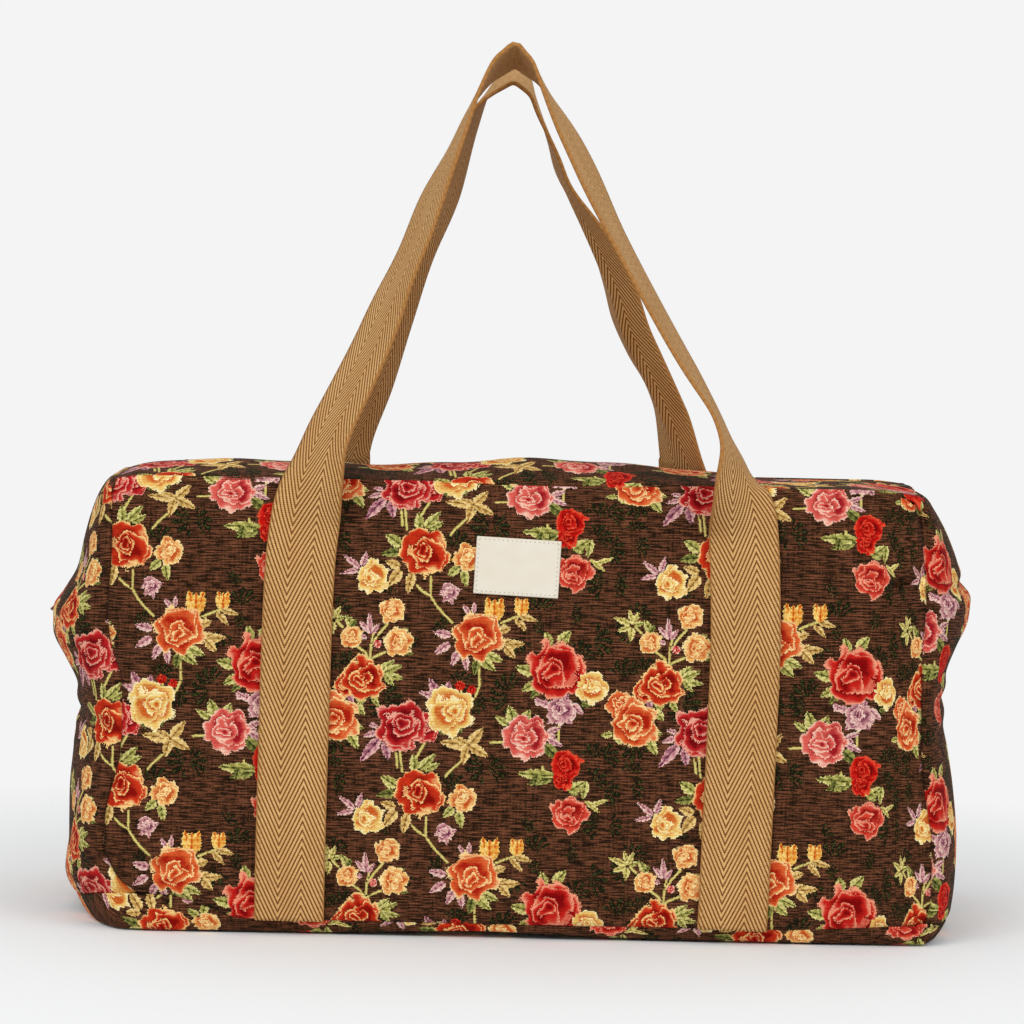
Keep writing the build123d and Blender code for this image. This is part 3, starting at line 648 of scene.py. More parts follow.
class Wiring:
    """Adds nodes to one tree. Each call returns the new node's output, for the next call."""

    def __init__(self, tree):
        self.tree = tree

    def feed(self, socket, value):
        if isinstance(value, bpy.types.NodeSocket):
            self.tree.links.new(value, socket)
        elif value is not None:
            socket.default_value = value

    def node(self, kind, inputs=(), **settings):
        made = self.tree.nodes.new(kind)
        for name, value in settings.items():
            setattr(made, name, value)
        for where, value in dict(inputs).items():
            self.feed(made.inputs[where], value)
        return made

    def calc(self, operation, *values, clamp=False):
        return self.node("ShaderNodeMath", enumerate(values), operation=operation,
                         use_clamp=clamp).outputs[0]

    def vector(self, operation, *values, out="Vector"):
        return self.node("ShaderNodeVectorMath", enumerate(values),
                         operation=operation).outputs[out]

    def dot(self, a, b):
        return self.vector("DOT_PRODUCT", a, b, out="Value")

    def join(self, x, y, z=0.0):
        return self.node("ShaderNodeCombineXYZ", enumerate((x, y, z))).outputs[0]

    def split(self, vector):
        return self.node("ShaderNodeSeparateXYZ", {0: vector}).outputs

    def mix(self, share, a, b, blend="MIX"):
        return self.node("ShaderNodeMix", {0: share, 6: a, 7: b}, data_type="RGBA",
                         blend_type=blend).outputs[2]

    def between(self, value, low, high, to_low=0.0, to_high=1.0):
        return self.node("ShaderNodeMapRange",
                         {0: value, 1: low, 2: high, 3: to_low, 4: to_high}).outputs[0]

    def stored(self, name):
        return self.node("ShaderNodeAttribute", attribute_name=name).outputs["Vector"]

    def cloth(self):
        return self.node("ShaderNodeUVMap", uv_map="Cloth").outputs[0]

    def place(self):
        return self.node("ShaderNodeTexCoord").outputs["Object"]

    def speckle(self, vector):
        return self.node("ShaderNodeTexWhiteNoise", {"Vector": vector},
                         noise_dimensions="2D").outputs["Value"]

    def clouds(self, vector, detail=1.0):
        return self.node("ShaderNodeTexNoise",
                         {"Vector": vector, "Scale": 1.0, "Detail": detail},
                         noise_dimensions="2D").outputs[0]

    def use(self, tree, **inputs):
        made = self.tree.nodes.new("ShaderNodeGroup")
        made.node_tree = tree
        for name, value in inputs.items():
            self.feed(made.inputs[name.replace("_", " ")], value)
        return made.outputs


def new_group(name, inputs, outputs):
    """An empty shader group with its sockets. Returns its wiring, its inputs and a function
    that closes it with the values of its outputs."""
    kinds = {"value": "NodeSocketFloat", "vector": "NodeSocketVector", "colour": "NodeSocketColor"}
    tree = bpy.data.node_groups.new(name, "ShaderNodeTree")
    for label, kind, default in inputs:
        socket = tree.interface.new_socket(label, in_out="INPUT", socket_type=kinds[kind])
        socket.default_value = default
    for label, kind in outputs:
        tree.interface.new_socket(label, in_out="OUTPUT", socket_type=kinds[kind])
    wiring = Wiring(tree)
    start = tree.nodes.new("NodeGroupInput").outputs
    end = tree.nodes.new("NodeGroupOutput")

    def close(*values):
        for socket, value in zip(end.inputs, values):
            wiring.feed(socket, value)
        return tree

    return wiring, start, close


def flower_group():
    """A rose seen from above. Four rings of petals lie on each other, each with its own middle,
    in a place that slow noise has bent. The edge of a ring is its radius less a notch between
    each two petals, the absolute sine of the angle. A petal has a thin light edge and grows
    dark where the next ring covers it."""
    w, given, close = new_group(
        "Woven flower",
        (("Offset", "vector", (0, 0, 0)), ("Turn", "vector", (1, 0, 5)),
         ("Speckle", "value", 0.5)),
        (("Mask", "value"), ("Shade", "value")))
    turn = w.split(given["Turn"])
    place = w.join(
        w.dot(given["Offset"], w.join(turn[0], turn[1])),
        w.dot(given["Offset"], w.join(w.calc("MULTIPLY", turn[1], -1.0), turn[0])))
    bend = w.node("ShaderNodeTexNoise", {
        "Vector": w.vector("ADD", place, w.join(w.calc("MULTIPLY", turn[0], 90.0), turn[2])),
        "Scale": 1.5, "Detail": 1.0, "Roughness": 0.6}, noise_dimensions="2D").outputs["Color"]
    bend = w.vector("SUBTRACT", bend, (0.5, 0.5, 0.5))
    bent = w.vector("ADD", place, w.vector("MULTIPLY", bend, (0.62, 0.62, 0.0)))
    jitter = w.calc("MULTIPLY_ADD", given["Speckle"], 0.07, -0.035)

    def polar(dx, dy):
        moved = w.split(w.vector("ADD", bent, (dx, dy, 0.0)))
        return (w.vector("LENGTH", w.join(moved[0], moved[1]), out="Value"),
                w.calc("ARCTAN2", moved[1], moved[0]))

    outer, inner, heart = polar(0.0, 0.0), polar(-0.12, 0.10), polar(0.10, -0.14)
    mask = shade = None
    rings = (
        (outer, None, 0.4, 1.02, 0.20, 0.50),
        (inner, 4.0, 1.3, 0.74, 0.22, 0.40),
        (heart, 3.0, 2.5, 0.50, 0.26, 0.30),
        (heart, 2.0, 0.6, 0.27, 0.30, 0.24),
    )
    for (radius, angle), petals, phase, reach, notch, thick in rings:
        petals = turn[2] if petals is None else petals
        lobe = w.calc("ABSOLUTE", w.calc("SINE", w.calc(
            "MULTIPLY_ADD", w.calc("MULTIPLY", angle, 0.5), petals, phase)))
        lobe = w.calc("POWER", lobe, 0.5)
        edge = w.calc("MULTIPLY_ADD", lobe, notch * reach, (1 - notch) * reach)
        depth = w.calc("ADD", w.calc("SUBTRACT", edge, radius), jitter)
        inside = w.calc("GREATER_THAN", depth, 0.0)
        petal = w.calc("MULTIPLY", w.between(depth, 0.05, thick, 0.66, -0.06),
                       w.calc("MULTIPLY_ADD", lobe, 0.7, 0.3))
        petal = w.calc("ADD", petal, w.between(depth, 0.0, 0.10, 0.52, 0.0))
        if mask is None:
            mask, shade = inside, petal
        else:
            shade = w.calc("MULTIPLY_ADD", inside, w.calc("SUBTRACT", petal, shade), shade)
    shade = w.calc("MULTIPLY_ADD", w.split(bend)[2], 0.9, shade)
    return close(mask, shade)


def leaf_group():
    """A pointed leaf from its base to its tip. Its half width at share t of its length is
    2.6 times the root of t times (1 - t), with saw teeth. One half is lighter than the other,
    and veins cross both."""
    w, given, close = new_group(
        "Woven leaf",
        (("Offset", "vector", (0, 0, 0)), ("Turn", "vector", (1, 0, 4)),
         ("Speckle", "value", 0.5)),
        (("Mask", "value"), ("Shade", "value")))
    turn = w.split(given["Turn"])
    along = w.dot(given["Offset"], w.join(turn[0], turn[1]))
    across = w.calc("MULTIPLY", turn[2], w.dot(
        given["Offset"], w.join(w.calc("MULTIPLY", turn[1], -1.0), turn[0])))
    width = w.calc("MULTIPLY", w.calc("MULTIPLY", w.calc("SQRT", w.calc("MAXIMUM", along, 0.0)),
                                      w.calc("SUBTRACT", 1.0, along)), 2.6)
    teeth = w.calc("MULTIPLY_ADD", w.calc("FRACT", w.calc("MULTIPLY", along, 5.0)), -0.22, 0.08)
    ragged = w.calc("MULTIPLY_ADD", given["Speckle"], 0.16, -0.08)
    away = w.calc("ABSOLUTE", across)
    room = w.calc("SUBTRACT", w.calc("ADD", w.calc("ADD", width, teeth), ragged), away)
    mask = w.calc("MULTIPLY", w.calc("GREATER_THAN", room, 0.0),
                  w.calc("GREATER_THAN", width, 0.02))
    half = w.calc("MULTIPLY_ADD", w.calc("GREATER_THAN", across, 0.0), 0.28, 0.44)
    veins = w.calc("SINE", w.calc("MULTIPLY_ADD", away, -4.0, w.calc("MULTIPLY", along, 21.0)))
    middle = w.calc("MULTIPLY", w.calc("LESS_THAN", away, 0.17), -0.42)
    rim = w.between(room, 0.0, 0.3, 0.35, 0.0)
    shade = w.calc("ADD", w.calc("ADD", half, w.calc("MULTIPLY", veins, 0.18)),
                   w.calc("ADD", middle, rim))
    return close(mask, shade)


def stem_group():
    """A thin straight piece of stem: the distance to the nearest point of a run, less than the
    stem's half width."""
    w, given, close = new_group(
        "Woven stem",
        (("Offset", "vector", (0, 0, 0)), ("Run", "vector", (1, 0, 0)),
         ("Speckle", "value", 0.5)),
        (("Mask", "value"), ("Shade", "value")))
    share = w.calc("DIVIDE", w.dot(given["Offset"], given["Run"]),
                   w.dot(given["Run"], given["Run"]), clamp=True)
    on_run = w.node("ShaderNodeVectorMath", {0: given["Run"], 3: share},
                    operation="SCALE").outputs[0]
    apart = w.vector("DISTANCE", given["Offset"], on_run, out="Value")
    apart = w.calc("MULTIPLY_ADD", given["Speckle"], 0.4, apart)
    return close(w.calc("LESS_THAN", apart, 0.95), w.between(apart, 0.1, 0.95, 0.95, 0.2))


def sprig_group():
    """A low-contrast fan of needles: spokes around a root, the absolute sine of the angle
    swept on a little with the radius."""
    w, given, close = new_group(
        "Woven sprig",
        (("Offset", "vector", (0, 0, 0)), ("Turn", "vector", (1, 0, 0)),
         ("Speckle", "value", 0.5)),
        (("Mask", "value"), ("Shade", "value")))
    turn = w.split(given["Turn"])
    x = w.dot(given["Offset"], w.join(turn[0], turn[1]))
    y = w.dot(given["Offset"], w.join(w.calc("MULTIPLY", turn[1], -1.0), turn[0]))
    x = w.calc("ADD", x, 0.45)
    radius = w.vector("LENGTH", w.join(x, y), out="Value")
    angle = w.calc("ARCTAN2", y, x)
    spoke = w.calc("ABSOLUTE", w.calc("SINE", w.calc(
        "MULTIPLY_ADD", radius, 1.6, w.calc("MULTIPLY", angle, 5.0))))
    fan = w.calc("MULTIPLY", w.calc("LESS_THAN", w.calc("ABSOLUTE", angle), 1.25),
                 w.calc("LESS_THAN", w.calc("MULTIPLY_ADD", spoke, -0.4, radius), 0.95))
    mask = w.calc("MULTIPLY", fan, w.calc("GREATER_THAN", w.calc(
        "MULTIPLY_ADD", given["Speckle"], 0.5, spoke), 0.75))
    return close(mask, w.calc("MULTIPLY", spoke, given["Speckle"]))


def palette_group():
    """The three colours of one row of the palettes, found by stepped colour ramps, and mixed
    from dark through plain to light by the shade."""
    w, given, close = new_group(
        "Palette", (("Row", "value", 0.0), ("Shade", "value", 0.5)), (("Colour", "colour"),))
    found = []
    for part in range(3):
        node = w.node("ShaderNodeValToRGB", {0: given["Row"]})
        node.color_ramp.interpolation = "CONSTANT"
        stops = node.color_ramp.elements
        for i, colours in enumerate(PALETTES.values()):
            stop = stops[i] if i < 2 else stops.new(i / len(PALETTES))
            stop.position = i / len(PALETTES)
            stop.color = rgba(np.array(colours[part]) / 255)
        found.append(node.outputs[0])
    low = w.mix(w.between(given["Shade"], 0.05, 0.42), found[0], found[1])
    return close(w.mix(w.between(given["Shade"], 0.52, 0.95), low, found[2]))


def weave_group():
    """A woven surface: height is the absolute sine across the threads, broken by a slower sine
    along them, and mask is the shadow between two threads."""
    w, given, close = new_group(
        "Weave",
        (("Place", "vector", (0, 0, 0)), ("Across", "value", 1.0), ("Along", "value", 1.0)),
        (("Height", "value"), ("Shadow", "value")))
    at = w.split(given["Place"])
    across = w.calc("ABSOLUTE", w.calc("SINE", w.calc(
        "MULTIPLY", w.calc("DIVIDE", at[1], given["Across"]), math.pi)))
    along = w.calc("SINE", w.calc(
        "MULTIPLY", w.calc("DIVIDE", at[0], given["Along"]), 2 * math.pi))
    height = w.calc("MULTIPLY_ADD", along, 0.18, across)
    return close(height, w.between(across, 0.0, 0.55, 1.0, 0.0))


def new_material(name):
    """A material with a Principled shader, its wiring and that shader's inputs."""
    material = bpy.data.materials.new(name)
    material.use_nodes = True
    shader = material.node_tree.nodes["Principled BSDF"]
    return material, Wiring(material.node_tree), shader.inputs


def raised(w, shader, height, distance, strength):
    """Feeds a height into the shader's normal."""
    bump = w.node("ShaderNodeBump",
                  {"Height": height, "Strength": strength, "Distance": distance * MM})
    w.feed(shader["Normal"], bump.outputs[0])


def tapestry_material(groups):
    """Rose tapestry: ground, sprigs, stems, leaves and flowers on woven steps."""
    size = bpy.context.scene.carpet_bag_print
    colour = bpy.context.scene.carpet_bag_colours
    material, w, shader = new_material("Rose tapestry")
    cloth = w.cloth()
    step = size.thread / MM
    stepped = w.vector("SNAP", cloth, (step, step * 0.9, 1.0))
    speckle = w.speckle(stepped)
    thread = w.speckle(w.vector("MULTIPLY", stepped, (0.0, 1.0, 0.0)))

    rows = w.clouds(w.vector("MULTIPLY", stepped, (0.12, 1.85, 0.0)), 0.0)
    columns = w.clouds(w.vector("MULTIPLY", stepped, (0.75, 0.06, 0.0)), 1.0)
    weave = w.use(groups["weave"], Place=cloth, Across=size.rib / MM, Along=size.thread / MM * 2)
    tone = w.calc("ADD", w.calc("MULTIPLY_ADD", rows, 1.25, w.calc("MULTIPLY", columns, 0.5)),
                  w.calc("MULTIPLY_ADD", speckle, 0.36, -1.04))
    # Painted shade: the weave's shadow between the ribs lowers the tone towards the dark threads'
    # colour
    tone = w.calc("MULTIPLY_ADD", weave["Shadow"], -0.28, tone)
    base = w.mix(w.between(tone, -0.22, 0.08), rgba(colour.shadow_thread), rgba(colour.ground))
    base = w.mix(w.between(tone, 0.04, 0.42), base, rgba(colour.streak))

    def motif(group, at, turn):
        offset = w.vector("MULTIPLY", w.vector("SUBTRACT", stepped, at), (1.0, 1.0, 0.0))
        return w.use(groups[group], Offset=offset, Turn=w.stored(turn), Speckle=speckle)

    def layer(below, group, number, mottle):
        at = w.stored(f"{group}_place_{number}")
        found = motif(group, at, f"{group}_turn_{number}")
        shade = w.calc("ADD", found["Shade"], w.calc("MULTIPLY_ADD", speckle, mottle, -mottle / 2))
        painted = w.use(groups["palette"], Row=w.split(at)[2], Shade=shade)["Colour"]
        return w.mix(found["Mask"], below, painted)

    order = list(PALETTES)
    sprig = motif("sprig", w.stored("sprig_place"), "sprig_turn")
    needle = w.mix(w.between(sprig["Shade"], 0.62, 0.8), rgba((0.10, 0.10, 0.045)),
                   rgba((0.30, 0.30, 0.15)))
    print_colour = w.mix(sprig["Mask"], base, needle)
    stem = w.use(groups["stem"], Offset=w.vector("SUBTRACT", stepped, w.stored("stem_place")),
                 Run=w.stored("stem_run"), Speckle=speckle)
    pale = w.use(groups["palette"], Row=(order.index("pale") + 0.5) / len(order),
                 Shade=stem["Shade"])["Colour"]
    print_colour = w.mix(stem["Mask"], print_colour, pale)
    for group, mottle in (("leaf", 0.34), ("flower", 0.30)):
        for number in (0, 1):
            print_colour = layer(print_colour, group, number, mottle)

    # Painted shade between the ribs, over the whole print
    print_colour = w.mix(w.calc("MULTIPLY", weave["Shadow"], 0.14), print_colour,
                         rgba((0.07, 0.05, 0.04)))
    tint = w.calc("MULTIPLY_ADD", thread, 0.16, 0.92)
    print_colour = w.mix(1.0, print_colour, w.join(tint, tint, tint), "MULTIPLY")
    w.feed(shader["Base Color"], print_colour)
    w.feed(shader["Roughness"], w.calc("MULTIPLY_ADD", speckle, 0.10, 0.86))
    shader["Specular IOR Level"].default_value = 0.05
    shader["Sheen Weight"].default_value = 0.02
    shader["Sheen Roughness"].default_value = 0.5
    raised(w, shader, w.calc("MULTIPLY_ADD", speckle, 0.5, weave["Height"]), 0.22, 0.6)
    return material


def webbing_material():
    """Herringbone webbing: the across place is folded into three zones, so that the twill's
    diagonal ribs turn back at each third. Each rib is broken into threads, and a row of
    stitches runs along each margin."""
    colour = bpy.context.scene.carpet_bag_colours
    material, w, shader = new_material("Herringbone webbing")
    cloth = w.cloth()
    at = w.split(cloth)
    zone = WEBBING_WIDTH / 3
    folded = w.calc("PINGPONG", w.calc("ADD", at[0], WEBBING_WIDTH / 2), zone)
    phase = w.calc("ADD", w.calc("DIVIDE", at[1], 4.95), w.calc("DIVIDE", folded, 2.28))
    rib = w.calc("ABSOLUTE", w.calc("SINE", w.calc("MULTIPLY", phase, math.pi)))
    phase_cell = w.calc("FLOOR", phase)
    twist = w.calc("SINE", w.calc("MULTIPLY", w.calc(
        "MULTIPLY_ADD", phase_cell, 0.5, w.calc("DIVIDE", at[1], 0.95)), 2 * math.pi))
    stepped = w.vector("SNAP", cloth, (0.45, 0.45, 1.0))
    speckle = w.speckle(stepped)
    slow = w.clouds(w.vector("MULTIPLY", cloth, (0.06, 0.02, 0.0)), 2.0)
    light = w.calc("ADD", w.calc("MULTIPLY_ADD", twist, 0.16, rib),
                   w.calc("MULTIPLY_ADD", speckle, 0.18, -0.09))
    light = w.between(light, 0.34, 1.0)
    body = w.mix(w.between(slow, 0.3, 0.7, 0.0, 0.35), rgba(colour.webbing_light),
                 rgba((0.80, 0.58, 0.33)))
    # Painted shade in the grooves: light is 1 on the raised ribs, which keep the webbing's own
    # colour, and 0 in the grooves, which take the painted shade colour
    woven = w.mix(light, rgba(colour.webbing_groove_shade), body)
    from_edge = w.calc("SUBTRACT", WEBBING_WIDTH / 2, w.calc("ABSOLUTE", at[0]))
    in_row = w.calc("LESS_THAN", w.calc("ABSOLUTE", w.calc("SUBTRACT", from_edge, 2.6)), 0.42)
    dash = w.calc("FRACT", w.calc("DIVIDE", at[1], 3.1))
    stitch = w.calc("MULTIPLY", in_row, w.calc("LESS_THAN", dash, 0.72))
    hole = w.calc("MULTIPLY", w.calc("LESS_THAN", w.calc(
        "ABSOLUTE", w.calc("SUBTRACT", from_edge, 2.6)), 0.7),
        w.calc("GREATER_THAN", dash, 0.74))
    woven = w.mix(w.calc("MULTIPLY", stitch, 0.22), woven, rgba((0.80, 0.60, 0.36)))
    # Painted shade: the stitch holes between the stitches are darkened
    woven = w.mix(w.calc("MULTIPLY", hole, 0.2), woven, rgba((0.36, 0.22, 0.10)))
    woven = w.mix(w.between(from_edge, 0.1, 1.3, 0.9, 0.0), woven, rgba((0.68, 0.47, 0.25)))
    w.feed(shader["Base Color"], woven)
    w.feed(shader["Roughness"], w.calc("MULTIPLY_ADD", speckle, 0.10, 0.74))
    shader["Specular IOR Level"].default_value = 0.12
    shader["Sheen Weight"].default_value = 0.03
    shader["Sheen Roughness"].default_value = 0.5
    height = w.calc("ADD", w.calc("MULTIPLY_ADD", twist, 0.18, rib),
                    w.calc("MULTIPLY_ADD", stitch, 0.3, w.calc("MULTIPLY", hole, -0.4)))
    raised(w, shader, height, 0.30, 0.7)
    return material


def label_material(groups):
    """Plain cotton tape, bare, with a line of stitch holes near its edges."""
    colour = bpy.context.scene.carpet_bag_colours
    material, w, shader = new_material("Label cotton")
    cloth = w.cloth()
    at = w.split(cloth)
    weave = w.use(groups["weave"], Place=cloth, Across=0.5, Along=0.9)
    speckle = w.speckle(w.vector("SNAP", cloth, (0.35, 0.35, 1.0)))
    slow = w.clouds(w.vector("MULTIPLY", cloth, (0.08, 0.10, 0.0)), 2.0)
    body = w.mix(w.between(slow, 0.3, 0.75, 0.0, 0.4), rgba(colour.label),
                 rgba((0.90, 0.85, 0.76)))
    # Painted shade between the threads
    body = w.mix(w.calc("MULTIPLY", weave["Shadow"], 0.12), body, rgba((0.68, 0.60, 0.48)))
    side = w.calc("SUBTRACT", LABEL_WIDTH / 2, w.calc("ABSOLUTE", at[0]))
    end = w.calc("SUBTRACT", LABEL_HEIGHT / 2, w.calc("ABSOLUTE", at[1]))

    def holes(across, along):
        near = w.calc("LESS_THAN", w.calc("ABSOLUTE", w.calc("SUBTRACT", across, 1.5)), 0.28)
        gap = w.calc("ABSOLUTE", w.calc("SUBTRACT", w.calc(
            "FRACT", w.calc("DIVIDE", along, 2.6)), 0.5))
        return w.calc("MULTIPLY", near, w.calc("LESS_THAN", gap, 0.13))

    pricked = w.calc("MAXIMUM", holes(side, at[1]), holes(end, at[0]))
    # Painted shade in the empty stitch holes
    body = w.mix(w.calc("MULTIPLY", pricked, 0.55), body, rgba((0.45, 0.36, 0.26)))
    rim = w.between(w.calc("MINIMUM", side, end), 0.0, 0.7, 0.3, 0.0)
    body = w.mix(rim, body, rgba((0.80, 0.72, 0.60)))
    w.feed(shader["Base Color"], body)
    w.feed(shader["Roughness"], w.calc("MULTIPLY_ADD", speckle, 0.08, 0.82))
    shader["Specular IOR Level"].default_value = 0.2
    shader["Sheen Weight"].default_value = 0.08
    height = w.calc("ADD", weave["Height"], w.calc("MULTIPLY", pricked, -2.0))
    raised(w, shader, height, 0.08, 0.5)
    return material


def tape_material(groups):
    """Dark woven zip tape, ribbed along its length."""
    colour = bpy.context.scene.carpet_bag_colours
    material, w, shader = new_material("Zip tape")
    at = w.place()
    place = w.vector("MULTIPLY", at, (1 / MM, 1 / MM, 1 / MM))
    weave = w.use(groups["weave"], Place=place, Across=0.9, Along=1.1)
    speckle = w.speckle(w.vector("SNAP", place, (0.5, 0.5, 5.0)))
    body = w.mix(w.calc("MULTIPLY", speckle, 0.35), rgba(colour.tape), rgba((0.30, 0.23, 0.17)))
    # Painted shade between the ribs
    body = w.mix(w.calc("MULTIPLY", weave["Shadow"], 0.5), body, rgba((0.08, 0.06, 0.05)))
    w.feed(shader["Base Color"], body)
    w.feed(shader["Roughness"], w.calc("MULTIPLY_ADD", speckle, 0.1, 0.78))
    raised(w, shader, weave["Height"], 0.12, 0.6)
    return material


def brass_material():
    """Light brass: metal with fine wear in its gloss and a faint tarnish in patches."""
    colour = bpy.context.scene.carpet_bag_colours
    material, w, shader = new_material("Zip brass")
    at = w.place()
    patch = w.node("ShaderNodeTexNoise", {"Vector": at, "Scale": 160.0, "Detail": 3.0}).outputs[0]
    fine = w.node("ShaderNodeTexNoise", {"Vector": at, "Scale": 1900.0, "Detail": 2.0}).outputs[0]
    body = w.mix(w.between(patch, 0.42, 0.72, 0.0, 0.45), rgba(colour.brass),
                 rgba((0.60, 0.45, 0.22)))
    w.feed(shader["Base Color"], body)
    shader["Metallic"].default_value = 1.0
    w.feed(shader["Roughness"], w.calc("MULTIPLY_ADD", fine, 0.22, 0.20))
    raised(w, shader, fine, 0.03, 0.3)
    return material


def leather_material():
    """Smooth brown leather: cells of grain, darker in their creases, paler where worn."""
    colour = bpy.context.scene.carpet_bag_colours
    material, w, shader = new_material("Brown leather")
    at = w.place()
    grain = w.node("ShaderNodeTexVoronoi", {"Vector": at, "Scale": 950.0},
                   feature="DISTANCE_TO_EDGE").outputs[0]
    patch = w.node("ShaderNodeTexNoise", {"Vector": at, "Scale": 120.0, "Detail": 3.0}).outputs[0]
    body = w.mix(w.between(patch, 0.35, 0.7), rgba(colour.leather), rgba((0.34, 0.18, 0.10)))
    body = w.mix(w.between(grain, 0.0, 0.12, 0.5, 0.0), body, rgba((0.18, 0.09, 0.05)))
    w.feed(shader["Base Color"], body)
    w.feed(shader["Roughness"], w.between(patch, 0.3, 0.7, 0.42, 0.58))
    shader["Coat Weight"].default_value = 0.1
    raised(w, shader, w.between(grain, 0.0, 0.2), 0.06, 0.5)
    return material


class CARPETBAG_OT_materials(Operator):
    """Makes the shader groups and every finish of the bag"""
    bl_idname = "carpet_bag.materials"
    bl_label = "Materials"

    def execute(self, context):
        groups = {
            "flower": flower_group(), "leaf": leaf_group(), "stem": stem_group(),
            "sprig": sprig_group(), "palette": palette_group(), "weave": weave_group(),
        }
        tapestry_material(groups)
        webbing_material()
        label_material(groups)
        tape_material(groups)
        brass_material()
        leather_material()
        return {"FINISHED"}


def face_panel(side):
    """One face between its upright seams: x runs from seam to seam, z from the foot seam to
    the top seam, and y is the face's depth with its creases, drawn in at its four seams."""
    shape = bpy.context.scene.carpet_bag_shape
    step = shape.mesh_step / MM
    width, rise = FACE_SPAN
    a, b = np.meshgrid(spaced(width, step), spaced(rise, step))
    level = -232 + width * a
    foot = foot_seam(level)
    z = foot + (seam_top(level, side) - foot) * b
    left, right = corner_of(-1, z), corner_of(1, z)
    x = -left + (left + right) * a
    depth = face_depth(x, z, side) + folds(x, z, side)
    for distance in (width * a, width * (1 - a), rise * b, rise * (1 - b)):
        depth = depth - seam_groove(distance, shape.groove / MM)
    points = np.stack((x, side * depth, z), -1)
    gathered = x + (22 * ramp(206, 236, x) if side < 0 else 0)
    cloth = np.stack((-side * gathered + 85.5 + (0 if side < 0 else 41),
                      z + 69 + 4 * ramp(246, 263, z)), -1)
    return points, cloth


class CARPETBAG_OT_faces(Operator):
    """Makes the front and the back of the bag"""
    bl_idname = "carpet_bag.faces"
    bl_label = "Faces"

    def execute(self, context):
        for side, node in ((-1, "front_panel"), (1, "back_panel")):
            piece = panel_piece(node, face_panel(side), (0, 0, 130))
        return {"FINISHED"}


def end_surface(sign):
    """One end, from the front's upright seam round to the back's: the plan swings out to the
    outline of that height, and the creases of both faces die away round the end."""
    shape = bpy.context.scene.carpet_bag_shape
    step = shape.mesh_step / MM
    span, height = END_SPAN
    a, b = np.meshgrid(spaced(span, step), spaced(height, step))
    turn = np.cos(math.pi * a)
    foot = foot_seam(sign * 240.0, turn)
    z = foot + (end_top(a, sign) - foot) * b
    x, y = end_plan(a, z, sign)
    hollow = (
        folds(x, z, -1) * np.clip(turn, 0, 1) ** 0.5
        + folds(x, z, 1) * np.clip(-turn, 0, 1) ** 0.5
    )
    pinch = LEFT_PINCH if sign < 0 else RIGHT_PINCH
    radial = 1.3 * np.sin((z - pinch) / 9.0 + 4.5 * a) * np.exp(-(((z - pinch) / 34) ** 2))
    lift = radial * np.sin(math.pi * a) ** 2
    for distance in (span * a, span * (1 - a), height * b, height * (1 - b)):
        hollow = hollow - seam_groove(distance, shape.groove / MM)
    out = np.sqrt(np.clip(1 - turn ** 2, 0, 1))
    x = x + sign * (hollow * out + lift)
    y = y - np.sign(turn) * hollow * np.abs(turn)
    around = added_up(np.hypot(np.diff(x, axis=1), np.diff(y, axis=1)), 1)
    around = around + corner_of(sign, z) - 235
    reach = end_outline(sign, z) * np.sin(math.pi * a) ** 0.9
    up = added_up(np.hypot(np.diff(reach, axis=0), np.diff(z, axis=0))) + foot - FOOT_SEAM
    start, lift = LEFT_END_PRINT if sign < 0 else RIGHT_END_PRINT
    return np.stack((x, y, z), -1), np.stack((sign * around + start, up + lift), -1)


class CARPETBAG_OT_ends(Operator):
    """Makes the two bulging ends and finishes the leather tab on the left one"""
    bl_idname = "carpet_bag.ends"
    bl_label = "Ends"

    def execute(self, context):
        for sign, node in ((-1, "left_end_panel"), (1, "right_end_panel")):
            piece = panel_piece(node, end_surface(sign), (0, 0, 130))
        finish_node("end_tab", "Brown leather")
        return {"FINISHED"}


def top_surface(side):
    """One soft roll beside the zip. y runs from the face's top seam to the zip, x from one
    end's top seam to the other's. The height rises by a parabola to the crest at half way,
    falls by another to the zip, and falls away at both ends as a quarter ellipse."""
    shape = bpy.context.scene.carpet_bag_shape
    step = shape.mesh_step / MM
    length, width = STRIP_SPAN
    a, b = np.meshgrid(spaced(length, step), spaced(width, step))
    mouth = ZIP_HALF_MOUTH

    def end_of(sign):
        corner = np.full(b.shape, top_corner(sign, side))
        deep = face_depth(sign * corner_of(sign, corner), corner, side)
        out = deep + (mouth - deep) * b
        share = np.arccos(np.clip(-side * out / deep, -1, 1)) / math.pi
        height = end_top(share, sign)
        return end_plan(share, height, sign)[0], height

    left, left_height = end_of(-1)
    right, right_height = end_of(1)
    x = left + (right - left) * a
    rise = quarter_ellipse(x, left, right)
    inner = np.clip(x, -corner_of(-1, TOP_SEAM), corner_of(1, TOP_SEAM))
    level = TOP_SEAM - drop_of(side)
    crest = crest_of(side, x)
    low = np.clip(b / 0.5, 0, 1)
    high = np.clip((b - 0.5) / 0.5, 0, 1)
    arch = level + (crest - level) * (1 - (1 - low) ** 2) + (ZIP_EDGE - crest) * high ** 2
    end_height = np.where(a < 0.5, left_height, right_height)
    z = end_height + (arch - end_height) * rise
    edge = mouth + (0.5 - mouth) * ramp(211, 224, np.abs(x))
    start = face_depth(inner, seam_top(inner, side), side)
    y = start + (edge - start) * b
    puckers = 0.5 * np.sin(x / 9.5 + 2 * b) + 0.4 * np.sin(x / 23 - 3 * b + 1)
    z = z + puckers * np.sin(math.pi * b) * rise
    for distance in (width * b, length * a, length * (1 - a)):
        z = z - seam_groove(distance, shape.groove / MM)
    up = added_up(np.hypot(np.diff(y, axis=0), np.diff(z, axis=0)))
    cloth = np.stack((-side * x + 58.5 + (0 if side < 0 else 60), up + 21), -1)
    return np.stack((x, side * y, z), -1), cloth


